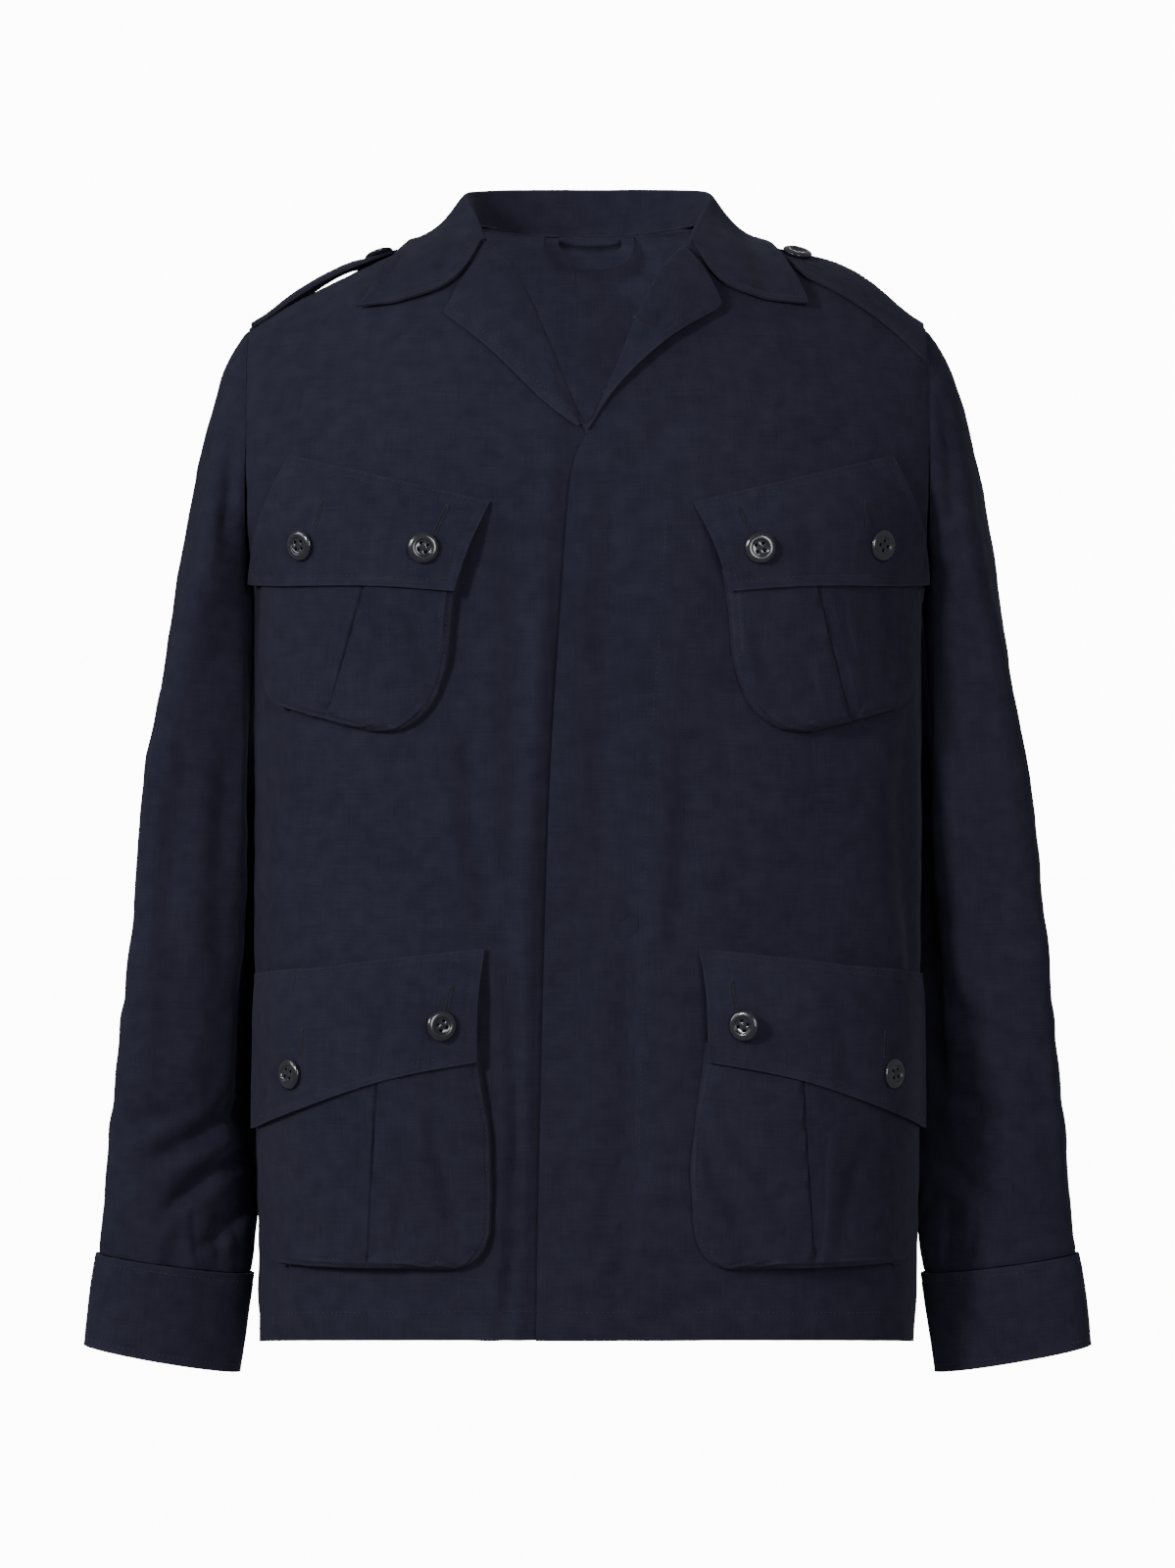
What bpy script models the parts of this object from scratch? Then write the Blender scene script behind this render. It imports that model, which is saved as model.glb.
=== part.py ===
"""Jungle jacket in its worn shape with nobody in it: cloth walls, each cut piece its own solid."""
import math
from collections import namedtuple
from functools import lru_cache

import bmesh
import bpy
from mathutils import Vector

for old in list(bpy.data.objects):
    bpy.data.objects.remove(old, do_unlink=True)

# Sizes are in millimetres; the meshes are made in metres.
# The origin is between the shoulders, level with the neck seam at the nape.
# Front faces -Y, the wearer's left is +X.
MM = 0.001
SEAM = 0.3            # between two pieces sewn edge to edge
RIDGE_GAP = 0.22      # each panel stays this far from the side and shoulder seam lines
ARMHOLE_GAP = 0.5
CLOTH = 1.5           # a panel's wall
DOUBLED = 2.0         # flaps, straps and cuffs, sewn of two layers
COLLAR_WALL = 1.8

# Body
HEM_DROP = 727.0
HEM_FRONT_RISE = 13.0     # the hem is higher at the centre front
BOXY = 2.6                # squareness of the body's section
NECK_HALF = 75.0
NECK_RISE = 3.8           # shoulder seam at the neck, above the nape
SHOULDER_HALF = 221.0
SHOULDER_DROP = 65.0
ARMPIT_DROP = 236.0
ARMPIT_HALF = 219.0
RIDGE_CROWN = 3.4         # how far the shoulder seam bows up
RIDGE_REACH = 170.0       # drop over which the shoulder rounds into the chest
RIDGE_ROUND = 1.8

Section = namedtuple("Section", "drop half_width front_depth back_depth")
BODY = (
    Section(-60, 246, 116, 118),
    Section(60, 246, 117, 120),
    Section(150, 243, 119, 121),
    Section(200, 230, 121, 119),
    Section(236, 219, 122, 117),
    Section(300, 218, 122, 114),
    Section(420, 217.5, 121, 110),
    Section(560, 217, 123, 114),
    Section(660, 215.5, 123, 117),
    Section(740, 212.5, 121, 117),
)

# Long soft folds of the panels: a centre line from top to bottom, its half breadth,
# and its rise (a trough is below zero).
Fold = namedtuple("Fold", "x_top drop_top x_bottom drop_bottom breadth rise")
FOLDS = {
    "front_left": (
        Fold(62, 190, 58, 730, 16, 3.0),
        Fold(47, 330, 45, 700, 9, -1.8),
        Fold(178, 350, 160, 470, 20, 3.0),
    ),
    "front_right": (
        Fold(37, 300, 34, 740, 13, -4.0),
        Fold(56, 240, 56, 740, 15, 3.0),
        Fold(176, 345, 164, 470, 20, 3.5),
    ),
    "back": (
        Fold(-118, 230, -96, 740, 26, 5.0),
        Fold(-62, 300, -48, 740, 22, -4.0),
        Fold(4, 330, 12, 740, 28, 4.0),
        Fold(74, 280, 60, 740, 22, -4.0),
        Fold(126, 210, 108, 740, 26, 5.5),
    ),
}

# Front edges, as places across at each drop below the nape. The wearer's left front lies on top.
EdgeAt = namedtuple("EdgeAt", "drop across")
BREAK = (EdgeAt(16.5, 66), EdgeAt(26, 54.5), EdgeAt(41, 45), EdgeAt(64, 33), EdgeAt(100, 15.5),
         EdgeAt(125, 3.0))
FLY_EDGE = (EdgeAt(142, -9), EdgeAt(165, -12), EdgeAt(250, -17), EdgeAt(363, -24), EdgeAt(540, -29),
            EdgeAt(740, -33))
UNDER_EDGE = (EdgeAt(142, -5), EdgeAt(165, -22), EdgeAt(200, -30), EdgeAt(540, -32), EdgeAt(740, -32))
NECKLINE = (EdgeAt(-3.8, 75), EdgeAt(0, 74.2), EdgeAt(8, 70.5))
LAP_RISE = 2.4            # the upper front stands off the lower one
LAP_FROM, LAP_TO = 78.0, 48.0

# Rows of the front, as drops at its inner and its outer edge.
FrontRow = namedtuple("FrontRow", "inner outer")
FRONT_ROWS = (
    FrontRow(714, 727), FrontRow(650, 656), FrontRow(585, 588), FrontRow(520, 520), FrontRow(460, 460),
    FrontRow(400, 402), FrontRow(345, 352), FrontRow(295, 308), FrontRow(250, 270), FrontRow(210, 236),
    FrontRow(170, 206), FrontRow(142, 180), FrontRow(125, 160), FrontRow(104, 143), FrontRow(84, 127),
    FrontRow(64, 113), FrontRow(46, 101), FrontRow(32, 91.5), FrontRow(23, 85), FrontRow(16.5, 80.4),
    FrontRow(6.5, 73.5), FrontRow(-0.5, 68.4), FrontRow(-3.2, 65.6), FrontRow(-3.8, 65),
)
BackRow = namedtuple("BackRow", "centre edge")
BACK_ROWS = (
    BackRow(727, 727), BackRow(656, 656), BackRow(586, 588), BackRow(516, 520), BackRow(450, 458),
    BackRow(385, 400), BackRow(325, 348), BackRow(272, 306), BackRow(222, 270), BackRow(172, 236),
    BackRow(138, 203), BackRow(106, 171), BackRow(78, 143), BackRow(54, 119), BackRow(34, 99),
    BackRow(18, 83), BackRow(8, 73), BackRow(3, 68), BackRow(0.6, 65.6), BackRow(0, 65),
)

# Sleeve rings below the cap: centre, half breadth and half thickness of the flat oval, its turn
# from edge-on towards facing front, and how much the ring rises per mm outwards.
Ring = namedtuple("Ring", "drop x y broad thin turn tilt")
SLEEVE = (
    Ring(285, 248.4, 16, 87, 26.5, 7, 0.03),
    Ring(350, 251.0, 20, 82, 29.5, 13, 0.05),
    Ring(430, 254.2, 22, 75, 30.5, 21, 0.08),
    Ring(510, 258.0, 20, 68, 30, 32, 0.11),
    Ring(580, 262.8, 15, 60, 29.5, 45, 0.13),
    Ring(635, 265.6, 10, 55, 29.5, 59, 0.15),
    Ring(676, 269.7, 6, 52.5, 28, 68, 0.155),
)
CAP_ROWS = 8
SLEEVE_COLUMNS = 24
SLEEVE_END = 676.0
CUFF_HEIGHT = 62.0
Cuff = namedtuple("Cuff", "down x y broad thin tilt")
CUFF = (Cuff(0.0, 269.7, 6, 54.2, 31.0, 0.155), Cuff(8.0, 271.0, 5.5, 54.8, 31.5, 0.16),
        Cuff(36.0, 274.8, 4, 54.6, 30.5, 0.18), Cuff(CUFF_HEIGHT, 278.0, 3, 53.8, 29.5, 0.205))
CUFF_TURN = 68.0
# Gathers at the cuff seam and soft folds of the sleeve: place around (degrees), drop,
# reach around and along, and rise.
Crease = namedtuple("Crease", "around drop reach_around reach_along slant rise")
SLEEVE_FOLDS = (
    Crease(245, 660, 6, 45, 0.05, 2.6),
    Crease(258, 660, 6, 38, 0.0, -2.2),
    Crease(271, 660, 6, 45, -0.05, 2.6),
    Crease(200, 560, 16, 60, 0.35, 3.0),
    Crease(225, 520, 16, 60, 0.35, -3.0),
    Crease(150, 420, 18, 70, 0.25, 3.0),
    Crease(20, 470, 20, 80, -0.25, 3.5),
    Crease(340, 560, 18, 60, -0.3, -3.0),
    Crease(120, 240, 18, 70, 0.2, -3.0),
    Crease(55, 250, 18, 70, -0.2, 3.0),
)

# Pockets, in the cloth's own measure: across is girth from the centre front, then drop below the nape.
POCKET_SHIFT = 2.6        # both rows of pockets stand this far to the wearer's left
Pocket = namedtuple("Pocket", "across drop slope top width depth radius_in radius_out mouth nip"
                              " side_in side_out crown pleat")
POCKETS = {
    "chest": Pocket(64, 184.8, 13.2, 2, 148, 159, 42, 42, 46, 6.0, 9.0, 4.0, 6.0, 72),
    "hip": Pocket(63, 466.0, 0.0, 0, 179, 204, 28, 36, 60, 9.0, 6.0, 4.0, 12.0, 77),
}
# Flap corners in the pocket's own frame: along its top, and down from it.
Flap = namedtuple("Flap", "top_in top_out low_in low_out wave")
FLAPS = {
    "chest": Flap((0, 0), (138, 0), (8, 60), (163, 88), 2.0),
    "hip": Flap((5, 0.6), (174, 19), (8, 71), (181, 118), 6.0),
}
PLEAT_HALF, PLEAT_DEPTH = 3.2, 5.0
FLAP_CLEAR = 0.7
BAG_CLEAR = 1.4           # the bag's rim off the panel

# Buttons
BUTTON_FOOT, BUTTON_CLEAR = 8.8, 0.12
BUTTON_PROFILE = ((0.0, 2.0), (4.6, 2.0), (6.0, 3.4), (8.0, 3.4), (9.8, 2.0), (8.8, 0.0), (0.0, 0.0))
BUTTON_STEPS = 13
ButtonOn = namedtuple("ButtonOn", "pocket along down lean")
BUTTONS = (
    ButtonOn("chest", 32, 38, 6),
    ButtonOn("chest", 110, 52, 0),
    ButtonOn("hip", 31, 49, 20),
    ButtonOn("hip", 127, 81, 0),
)

# Shoulder straps: middle line, breadth, lift at the middle of the length
Strap = namedtuple("Strap", "middle breadth arch_front arch_back")
STRAPS = {"left": Strap(-14, 42, 1.6, 10.0), "right": Strap(9, 42, 3.8, 3.0)}
STRAP_FROM, STRAP_TO, STRAP_POINT = 217.5, 120.0, 17.0
STRAP_BUTTON_AT = 135.0

# Collar: seam on the neckline, top of the roll, and the leaf's edge in plan with its lift off the shoulder.
CollarAt = namedtuple("CollarAt", "share seam_x seam_y roll_x roll_y roll_z leaf_x leaf_y lift roll sag")
COLLAR = (
    CollarAt(-0.17, -38, 49.0, -41, 53.5, 31.4, -53, 62.0, 8.0, 3.0, 3.0),    # the other side of the centre
    CollarAt(0.00, 0, 56.0, 0, 60.0, 32.0, 0, 76.0, 8.0, 3.0, 1.5),
    CollarAt(0.17, 38, 49.0, 41, 53.5, 31.4, 53, 62.0, 8.0, 3.0, 3.0),
    CollarAt(0.34, 62, 28.0, 68, 36.0, 28.8, 90, 40.0, 7.0, 3.0, 5.0),
    CollarAt(0.52, 74, 6.0, 79.5, 8.0, 23.8, 111, 6, 6.0, 3.0, 6.0),
    CollarAt(0.68, 74, -20.0, 75.0, -18.0, 10.0, 122, -22, 5.5, 2.6, 4.0),
    CollarAt(0.84, 71, -38.0, 70.0, -37.0, -2.0, 133, -43, 5.5, 2.2, 0.0),
    CollarAt(1.00, 67.5, -50.0, 67.0, -51.0, -12.0, 144, -60, 5.0, 1.9, 0.0),
)
NOTCH = (79.0, -42.0)          # across and height
COLLAR_TIPS = {"left": (140.0, -57.0), "right": (147.0, -58.5)}
COLLAR_FRONT_BOW = -5.0
Lapel = namedtuple("Lapel", "tip_x tip_drop end_drop bow roll_lift edge_lift")
LAPELS = {"left": Lapel(86.5, 60.5, 128, -3.0, 5.0, 2.6), "right": Lapel(91.0, 64.5, 124, -2.0, 5.0, 2.6)}
LAPEL_WALL = 1.6
LAPEL_INSIDE = 7.0

# Hanger loop
LOOP_BREADTH, LOOP_WALL = 8.6, 1.4
LOOP_INSET, LOOP_STANDOFF = 8.4, 6.6    # off the back at its sewn ends, and more at its middle
LOOP_PATH = ((-23.0, -2.0), (-23.0, -8.5), (-17.5, -15.0), (-8.0, -17.2), (1.6, -17.6), (11.2, -17.2),
             (20.7, -15.0), (26.2, -8.5), (26.2, -2.0))

parts = bpy.data.collections.new("jungle jacket")
bpy.context.scene.collection.children.link(parts)


def plain(name, color, roughness):
    material = bpy.data.materials.new(name)
    material.use_nodes = True
    shader = material.node_tree.nodes["Principled BSDF"]
    shader.inputs["Base Color"].default_value = (*color, 1)
    shader.inputs["Roughness"].default_value = roughness
    shader.inputs["Metallic"].default_value = 0.0
    return material


NAVY = plain("navy cloth", (0.016, 0.017, 0.027), 0.85)
HORN = plain("dark button", (0.008, 0.009, 0.014), 0.22)


def clamp(t, low=0.0, high=1.0):
    return min(max(t, low), high)


def ease(t):
    t = clamp(t)
    return t * t * (3 - 2 * t)


def mix(a, b, t):
    return a + (b - a) * t


def along(places, values, at):
    """Value at a place on a smooth curve through the given values."""
    last = len(places) - 1
    if at <= places[0]:
        return values[0]
    if at >= places[last]:
        return values[last]
    i = max(k for k in range(last) if places[k] <= at)

    def slope(k):
        low, high = max(k - 1, 0), min(k + 1, last)
        return (values[high] - values[low]) / (places[high] - places[low])

    span = places[i + 1] - places[i]
    t = (at - places[i]) / span
    bend_a, bend_b = slope(i) * span, slope(i + 1) * span
    return ((2 * t - 3) * t * t + 1) * values[i] + ((t - 2) * t + 1) * t * bend_a \
        + (3 - 2 * t) * t * t * values[i + 1] + (t - 1) * t * t * bend_b


def column(rows, key, name, at):
    return along([getattr(row, key) for row in rows], [getattr(row, name) for row in rows], at)


@lru_cache(maxsize=None)
def section(drop):
    return Section(drop, *(column(BODY, "drop", name, drop) for name in Section._fields[1:]))


def ridge(x):
    """Height of the shoulder seam's line above a place across."""
    across = abs(x)
    if across < NECK_HALF:
        u = across / NECK_HALF
        across = NECK_HALF * (3 + 6 * u * u - u ** 4) / 8
    t = (across - NECK_HALF) / (SHOULDER_HALF - NECK_HALF)
    return mix(NECK_RISE, -SHOULDER_DROP, t) + (4 * RIDGE_CROWN * t * (1 - t) if t > 0 else 0.0)


def fold_rise(panel, x, z):
    total = 0.0
    for fold in FOLDS[panel]:
        t = (-z - fold.drop_top) / (fold.drop_bottom - fold.drop_top)
        if -0.15 < t < 1.15:
            near = (x - mix(fold.x_top, fold.x_bottom, clamp(t))) / fold.breadth
            total += fold.rise * math.exp(-near * near) * ease((t + 0.15) / 0.3) * ease((1.15 - t) / 0.15)
    return total


def body_y(panel, x, z):
    """Depth of the body's surface; the front is below zero."""
    at = section(round(-z, 3))
    depth = -at.front_depth if panel != "back" else at.back_depth
    around = clamp(abs(x) / at.half_width)
    full = (1 - around ** BOXY) ** (1 / BOXY)
    below = clamp((ridge(x) - z) / RIDGE_REACH)
    share = (1 - (1 - below) ** RIDGE_ROUND) ** (1 / RIDGE_ROUND)
    side = -x if panel == "front_right" else x
    rise = fold_rise(panel, side if panel != "back" else x, z) * full
    return (depth + math.copysign(1, depth) * rise) * full * share


def body_point(panel, x, z, out=0.0):
    """A point of the body's surface, moved out along its normal."""
    y = body_y(panel, x, z)
    wide = section(round(-z, 3)).half_width
    step = 0.5
    left, right = max(x - step, -wide), min(x + step, wide)
    top = min(z + step, ridge(x))
    across = (body_y(panel, right, z) - body_y(panel, left, z)) / max(right - left, 1e-6)
    up = (body_y(panel, x, top) - body_y(panel, x, z - step)) / (top - z + step)
    normal = Vector((-across, 1, -up)) if panel == "back" else Vector((across, -1, up))
    return Vector((x, y, z)) + normal.normalized() * out


def shoulder_point(x, y, out=0.0):
    """A point on top of the shoulder from its place in plan, moved out along its normal."""
    def height(px, py):
        at = section(round(-ridge(px) + 40, 3))
        depth = at.front_depth if py < 0 else at.back_depth
        full = depth * (1 - clamp(abs(px) / at.half_width) ** BOXY) ** (1 / BOXY)
        fall = (1 - clamp(abs(py) / full) ** RIDGE_ROUND) ** (1 / RIDGE_ROUND)
        return ridge(px) - RIDGE_REACH * (1 - fall)

    step = 0.5
    normal = Vector(((height(x - step, y) - height(x + step, y)) / (2 * step),
                     (height(x, y - step) - height(x, y + step)) / (2 * step), 1))
    return Vector((x, y, height(x, y))) + normal.normalized() * out


@lru_cache(maxsize=None)
def girth_table(panel, z):
    wide = section(round(-z, 3)).half_width
    turns = 60
    xs = [wide * math.sin(math.pi / 2 * k / turns) ** (2 / BOXY) for k in range(turns + 1)]
    lengths, total, last = [0.0], 0.0, None
    for x in xs:
        here = Vector((x, body_y(panel, x if panel != "front_right" else -x, z)))
        if last is not None:
            total += (here - last).length
            lengths.append(total)
        last = here
    return lengths, xs


def girth_point(panel, girth, z, out=0.0):
    """A point of the front, always at +X, at a length of cloth from the centre front, moved out."""
    def place(g, height):
        height = round(height, 2)
        lengths, xs = girth_table(panel, height)
        i = next((k for k in range(len(lengths) - 1) if lengths[k + 1] >= g), len(lengths) - 2)
        x = mix(xs[i], xs[i + 1], clamp((g - lengths[i]) / (lengths[i + 1] - lengths[i])))
        return Vector((x, body_y(panel, x if panel != "front_right" else -x, height), height))

    here = place(girth, z)
    normal = (place(girth + 3, z) - place(girth - 3, z)).cross(place(girth, z + 3) - place(girth, z - 3))
    return here + normal.normalized() * out


def cloth(name, columns, rows, place, wall=CLOTH, material=NAVY, mirrored=False, flip=False, closed=False):
    """A grid bent into shape by place(u, v) and thickened inwards into a wall."""
    bm = bmesh.new()
    bmesh.ops.create_grid(bm, x_segments=columns, y_segments=rows, size=0.5)
    for vert in bm.verts:
        spot = place(round((vert.co.x + 0.5) * columns), round((vert.co.y + 0.5) * rows))
        vert.co = Vector((-spot.x if mirrored else spot.x, spot.y, spot.z)) * MM
    if closed:
        bmesh.ops.remove_doubles(bm, verts=bm.verts, dist=1e-7)
    if flip != mirrored:
        bmesh.ops.reverse_faces(bm, faces=bm.faces)
    mesh = bpy.data.meshes.new(name)
    bm.to_mesh(mesh)
    bm.free()
    piece = bpy.data.objects.new(name, mesh)
    mesh.materials.append(material)
    parts.objects.link(piece)
    shell = piece.modifiers.new("wall", "SOLIDIFY")
    shell.thickness = wall * MM
    shell.offset = -1
    shell.use_quality_normals = True
    return piece


# Panels
def side_edge(drop):
    """Half width of a panel's outer edge: the side seam, and above the armpit the armhole."""
    if drop >= ARMPIT_DROP:
        return section(round(drop, 3)).half_width
    return mix(SHOULDER_HALF, ARMPIT_HALF, (drop - SHOULDER_DROP) / (ARMPIT_DROP - SHOULDER_DROP))


def inner_edge(side, drop):
    rows = NECKLINE + BREAK + (FLY_EDGE if side == "left" else UNDER_EDGE)
    return column(rows, "drop", "across", drop)


def spread(share):
    return math.sin(math.pi / 2 * share) ** (2 / BOXY)


def lap(side, x):
    return LAP_RISE * ease((LAP_FROM - x) / (LAP_FROM - LAP_TO)) if side == "left" else 0.0


def front_place(side, columns):
    panel = "front_" + side

    def place(i, j):
        row = FRONT_ROWS[j]
        x_in, x_out = inner_edge(side, row.inner), side_edge(row.outer)
        x = mix(x_in, x_out, spread(i / columns))
        t = (x - x_in) / (x_out - x_in)
        upper = clamp((ARMPIT_DROP - row.outer) / (ARMPIT_DROP - SHOULDER_DROP))
        z = -mix(row.inner, row.outer, t) + 4 * RIDGE_CROWN * t * (1 - t) * upper
        if row.outer > ARMPIT_DROP:
            x = min(x, section(round(-z, 3)).half_width)
        sided = x if side == "left" else -x
        if j == 0:
            z = HEM_FRONT_RISE * abs(body_y(panel, sided, z)) / section(HEM_DROP).front_depth - HEM_DROP
        spot = body_point(panel, sided, z, lap(side, x) * ease((-z - 70) / 45))
        spot.x = abs(spot.x) * (1 if x >= 0 else -1) if side == "right" else spot.x
        spot.y = min(spot.y, -RIDGE_GAP)
        return spot

    return place


FRONT_COLUMNS = 14
cloth("front_left", FRONT_COLUMNS, len(FRONT_ROWS) - 1, front_place("left", FRONT_COLUMNS))
cloth("front_right", FRONT_COLUMNS, len(FRONT_ROWS) - 1, front_place("right", FRONT_COLUMNS), mirrored=True)

BACK_COLUMNS = 24


def neck_top(x):
    """The back's top edge: neckline, then shoulder seam."""
    return NECK_RISE * (abs(x) / NECK_HALF) ** 2 if abs(x) < NECK_HALF else ridge(x)


def back_place(i, j):
    row = BACK_ROWS[j]
    share = 2 * i / BACK_COLUMNS - 1
    x = math.copysign(side_edge(row.edge) * spread(abs(share)), share)
    sag = (0 - neck_top(x)) / SHOULDER_DROP
    z = -mix(row.centre, row.edge, sag)
    if row.centre < 1e-6:
        z = neck_top(x)
    spot = body_point("back", x, min(z, neck_top(x)))
    spot.y = max(spot.y, RIDGE_GAP)
    return spot


cloth("back", BACK_COLUMNS, len(BACK_ROWS) - 1, back_place, flip=True)


# Sleeves and cuffs
def ring_point(ring, angle, grow=0.0):
    turn = math.radians(ring.turn)
    broad, thin = ring.broad + grow, ring.thin + grow
    x = ring.x - broad * math.cos(angle) * math.sin(turn) + thin * math.sin(angle) * math.cos(turn)
    y = ring.y + broad * math.cos(angle) * math.cos(turn) + thin * math.sin(angle) * math.sin(turn)
    return Vector((x, y, -ring.drop + ring.tilt * (x - ring.x)))


def sleeve_ring(drop):
    return Ring(drop, *(column(SLEEVE, "drop", name, drop) for name in Ring._fields[1:]))


def armhole_point(angle):
    """The armhole seam, from the back (0) over the shoulder (90 degrees) to the front."""
    drop = mix(ARMPIT_DROP, SHOULDER_DROP, (1 + math.sin(angle)) / 2)
    x = side_edge(drop)
    y = body_y("back" if math.cos(angle) > 0 else "front_left", x, -drop)
    return Vector((x + ARMHOLE_GAP, y, -drop))


def cap_point(angle, t):
    """The sleeve's head, from the armhole to the first ring."""
    start, end = armhole_point(angle), ring_point(SLEEVE[0], angle)
    reach = (end - start).length
    high = (1 + math.sin(angle)) / 2
    dip = math.radians(mix(70, 30, high))
    leave = Vector((math.cos(dip), 0, -math.sin(dip))) * reach * mix(0.5, 0.38, high)
    onward = (ring_point(sleeve_ring(SLEEVE[0].drop + 15), angle) - end) / 15
    arrive = onward * reach * mix(0.7, 1.0, high)
    return ((2 * t - 3) * t * t + 1) * start + ((t - 2) * t + 1) * t * leave \
        + (3 - 2 * t) * t * t * end + (t - 1) * t * t * arrive


def sleeve_folds(angle, drop):
    total = 0.0
    for crease in SLEEVE_FOLDS:
        down = (drop - crease.drop) / crease.reach_along
        turn = math.degrees(angle) - crease.around - crease.slant * (drop - crease.drop)
        turn = ((turn + 180) % 360 - 180) / crease.reach_around
        total += crease.rise * math.exp(-turn * turn - down * down)
    return total


TUBE_DROPS = (325, 366, 408, 450, 490, 527, 560, 590, 616, 638, 657, SLEEVE_END - SEAM)
SLEEVE_ROWS = CAP_ROWS + len(TUBE_DROPS)


def sleeve_angle(i):
    """Columns are closer together where the cuff's gathers are."""
    turn = 2 * math.pi * i / SLEEVE_COLUMNS
    return turn + 0.42 * math.sin(turn - math.radians(78))


def sleeve_place(i, j):
    angle = sleeve_angle(i % SLEEVE_COLUMNS)
    if j <= CAP_ROWS:
        spot = cap_point(angle, j / CAP_ROWS)
        grow = sleeve_folds(angle, -spot.z) * ease(j / 3)
        middle = Vector((mix(SHOULDER_HALF, SLEEVE[0].x, ease(j / CAP_ROWS)), 10, spot.z))
        return spot + (spot - middle).normalized() * grow * ease(j / 3)
    drop = TUBE_DROPS[j - CAP_ROWS - 1]
    return ring_point(sleeve_ring(drop), angle, sleeve_folds(angle, drop))


def cuff_place(i, j):
    row = CUFF[j]
    ring = Ring(SLEEVE_END + row.down, row.x, row.y, row.broad, row.thin, CUFF_TURN, row.tilt)
    return ring_point(ring, 2 * math.pi * (i % 24) / 24)


for side in ("left", "right"):
    right = side == "right"
    cloth("sleeve_" + side, SLEEVE_COLUMNS, SLEEVE_ROWS, sleeve_place, mirrored=right, closed=True)
    cloth("cuff_" + side, 24, len(CUFF) - 1, cuff_place, DOUBLED, mirrored=right, closed=True)


# Pockets
def pocket_frame(kind, side, p, q):
    """Girth and height of a place in a pocket's frame: p along its top, q down."""
    pocket = POCKETS[kind]
    slope = math.radians(pocket.slope)
    shift = POCKET_SHIFT if side == "left" else -POCKET_SHIFT
    return (pocket.across + shift + p * math.cos(slope) + q * math.sin(slope),
            -pocket.drop + p * math.sin(slope) - q * math.cos(slope))


def pocket_point(kind, side, p, q, out):
    return girth_point("front_" + side, *pocket_frame(kind, side, p, q), out)


def bag_sides(pocket, q):
    """Where the bag's two sides are at a depth, with its lower corners rounded."""
    ends = []
    for radius in (pocket.radius_in, pocket.radius_out):
        low = clamp(q - (pocket.depth - radius), 0, radius)
        ends.append(radius - math.sqrt(max(radius * radius - low * low, 0)))
    nip = pocket.nip * (1 - ease((q - pocket.mouth - 6) / 55))
    return pocket.top + ends[0] + nip, pocket.top + pocket.width - ends[1]


def bag_face(pocket, p):
    share = clamp((p - pocket.top) / pocket.width)
    crown = pocket.crown * math.sin(math.pi * clamp(share * 1.12 - 0.02)) ** 0.8
    return mix(pocket.side_in, pocket.side_out, share) + crown


def bag_inset(pocket, p, q):
    """How far a place is inside the bag's outline."""
    first, last = pocket.top, pocket.top + pocket.width
    first += pocket.nip * (1 - ease((q - pocket.mouth - 6) / 55))
    for edge, radius, way in ((first, pocket.radius_in, 1), (last, pocket.radius_out, -1)):
        in_corner = (p - edge) * way < radius and q > pocket.depth - radius
        if in_corner:
            return radius - math.hypot((p - edge) * way - radius, q - (pocket.depth - radius))
    return min(p - first, last - p, pocket.depth - q)


def bag_height(pocket, p, q):
    inset = max(bag_inset(pocket, p, q), 0.0)
    wall = (1 - (1 - clamp(inset / 7.0)) ** 3.0) ** (1 / 2.2)
    low = mix(1.0, 0.72, ease((q - 0.45 * pocket.depth) / (0.6 * pocket.depth)))
    groove = PLEAT_DEPTH * math.exp(-((p - pocket.pleat) / PLEAT_HALF) ** 2) * ease(inset / 14)
    return BAG_CLEAR + (bag_face(pocket, p) * low - BAG_CLEAR - groove) * wall


def bag_grid(pocket):
    """Shares across for the columns and depths for the rows."""
    edge = [0.0, 1.3, 6.0]
    half_a, half_b = pocket.pleat - pocket.top, pocket.width - (pocket.pleat - pocket.top)
    left = edge + [mix(6, half_a - 7, k / 3) for k in (1, 2)] + [half_a - 7, half_a - 2.6]
    right = [half_a + 2.6, half_a + 7] + [mix(half_a + 7, pocket.width - 6, k / 3) for k in (1, 2)]
    columns = left + [half_a] + right + [pocket.width - e for e in reversed(edge)]
    radius = max(pocket.radius_in, pocket.radius_out)
    start = pocket.depth - radius
    rows = [mix(pocket.mouth, start, k / 4) for k in range(5)]
    rows += [start + radius * math.sin(math.radians(a)) for a in (24, 44, 60)]
    rows += [pocket.depth - 6.0, pocket.depth - 1.3, pocket.depth]
    return [c / pocket.width for c in columns], sorted(rows)


def bag_place(kind, side):
    pocket = POCKETS[kind]
    shares, depths = bag_grid(pocket)

    def place(i, j):
        q = depths[len(depths) - 1 - j]
        first, last = bag_sides(pocket, q)
        p = mix(first, last, shares[i])
        return pocket_point(kind, side, p, q, bag_height(pocket, p, q))

    return place, len(shares) - 1, len(depths) - 1


def flap_height(kind, p, q):
    """A flap's outer side: down on the panel at its seam, then over the bag's face."""
    pocket = POCKETS[kind]
    clear = DOUBLED + FLAP_CLEAR
    return clear + bag_face(pocket, p) * ease(q / 30.0)


def flap_spot(kind, s, t):
    """Place in the pocket's frame: s along the flap, t down it."""
    flap = FLAPS[kind]
    top = [mix(flap.top_in[k], flap.top_out[k], s) for k in (0, 1)]
    low = [mix(flap.low_in[k], flap.low_out[k], s) for k in (0, 1)]
    low[1] += flap.wave * math.sin(2 * math.pi * (s - 0.06)) * -0.5
    bow = (1 - 2 * s) * 4.0 * t * (1 - t)
    return mix(top[0], low[0], t) + bow, mix(top[1], low[1], t)


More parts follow.
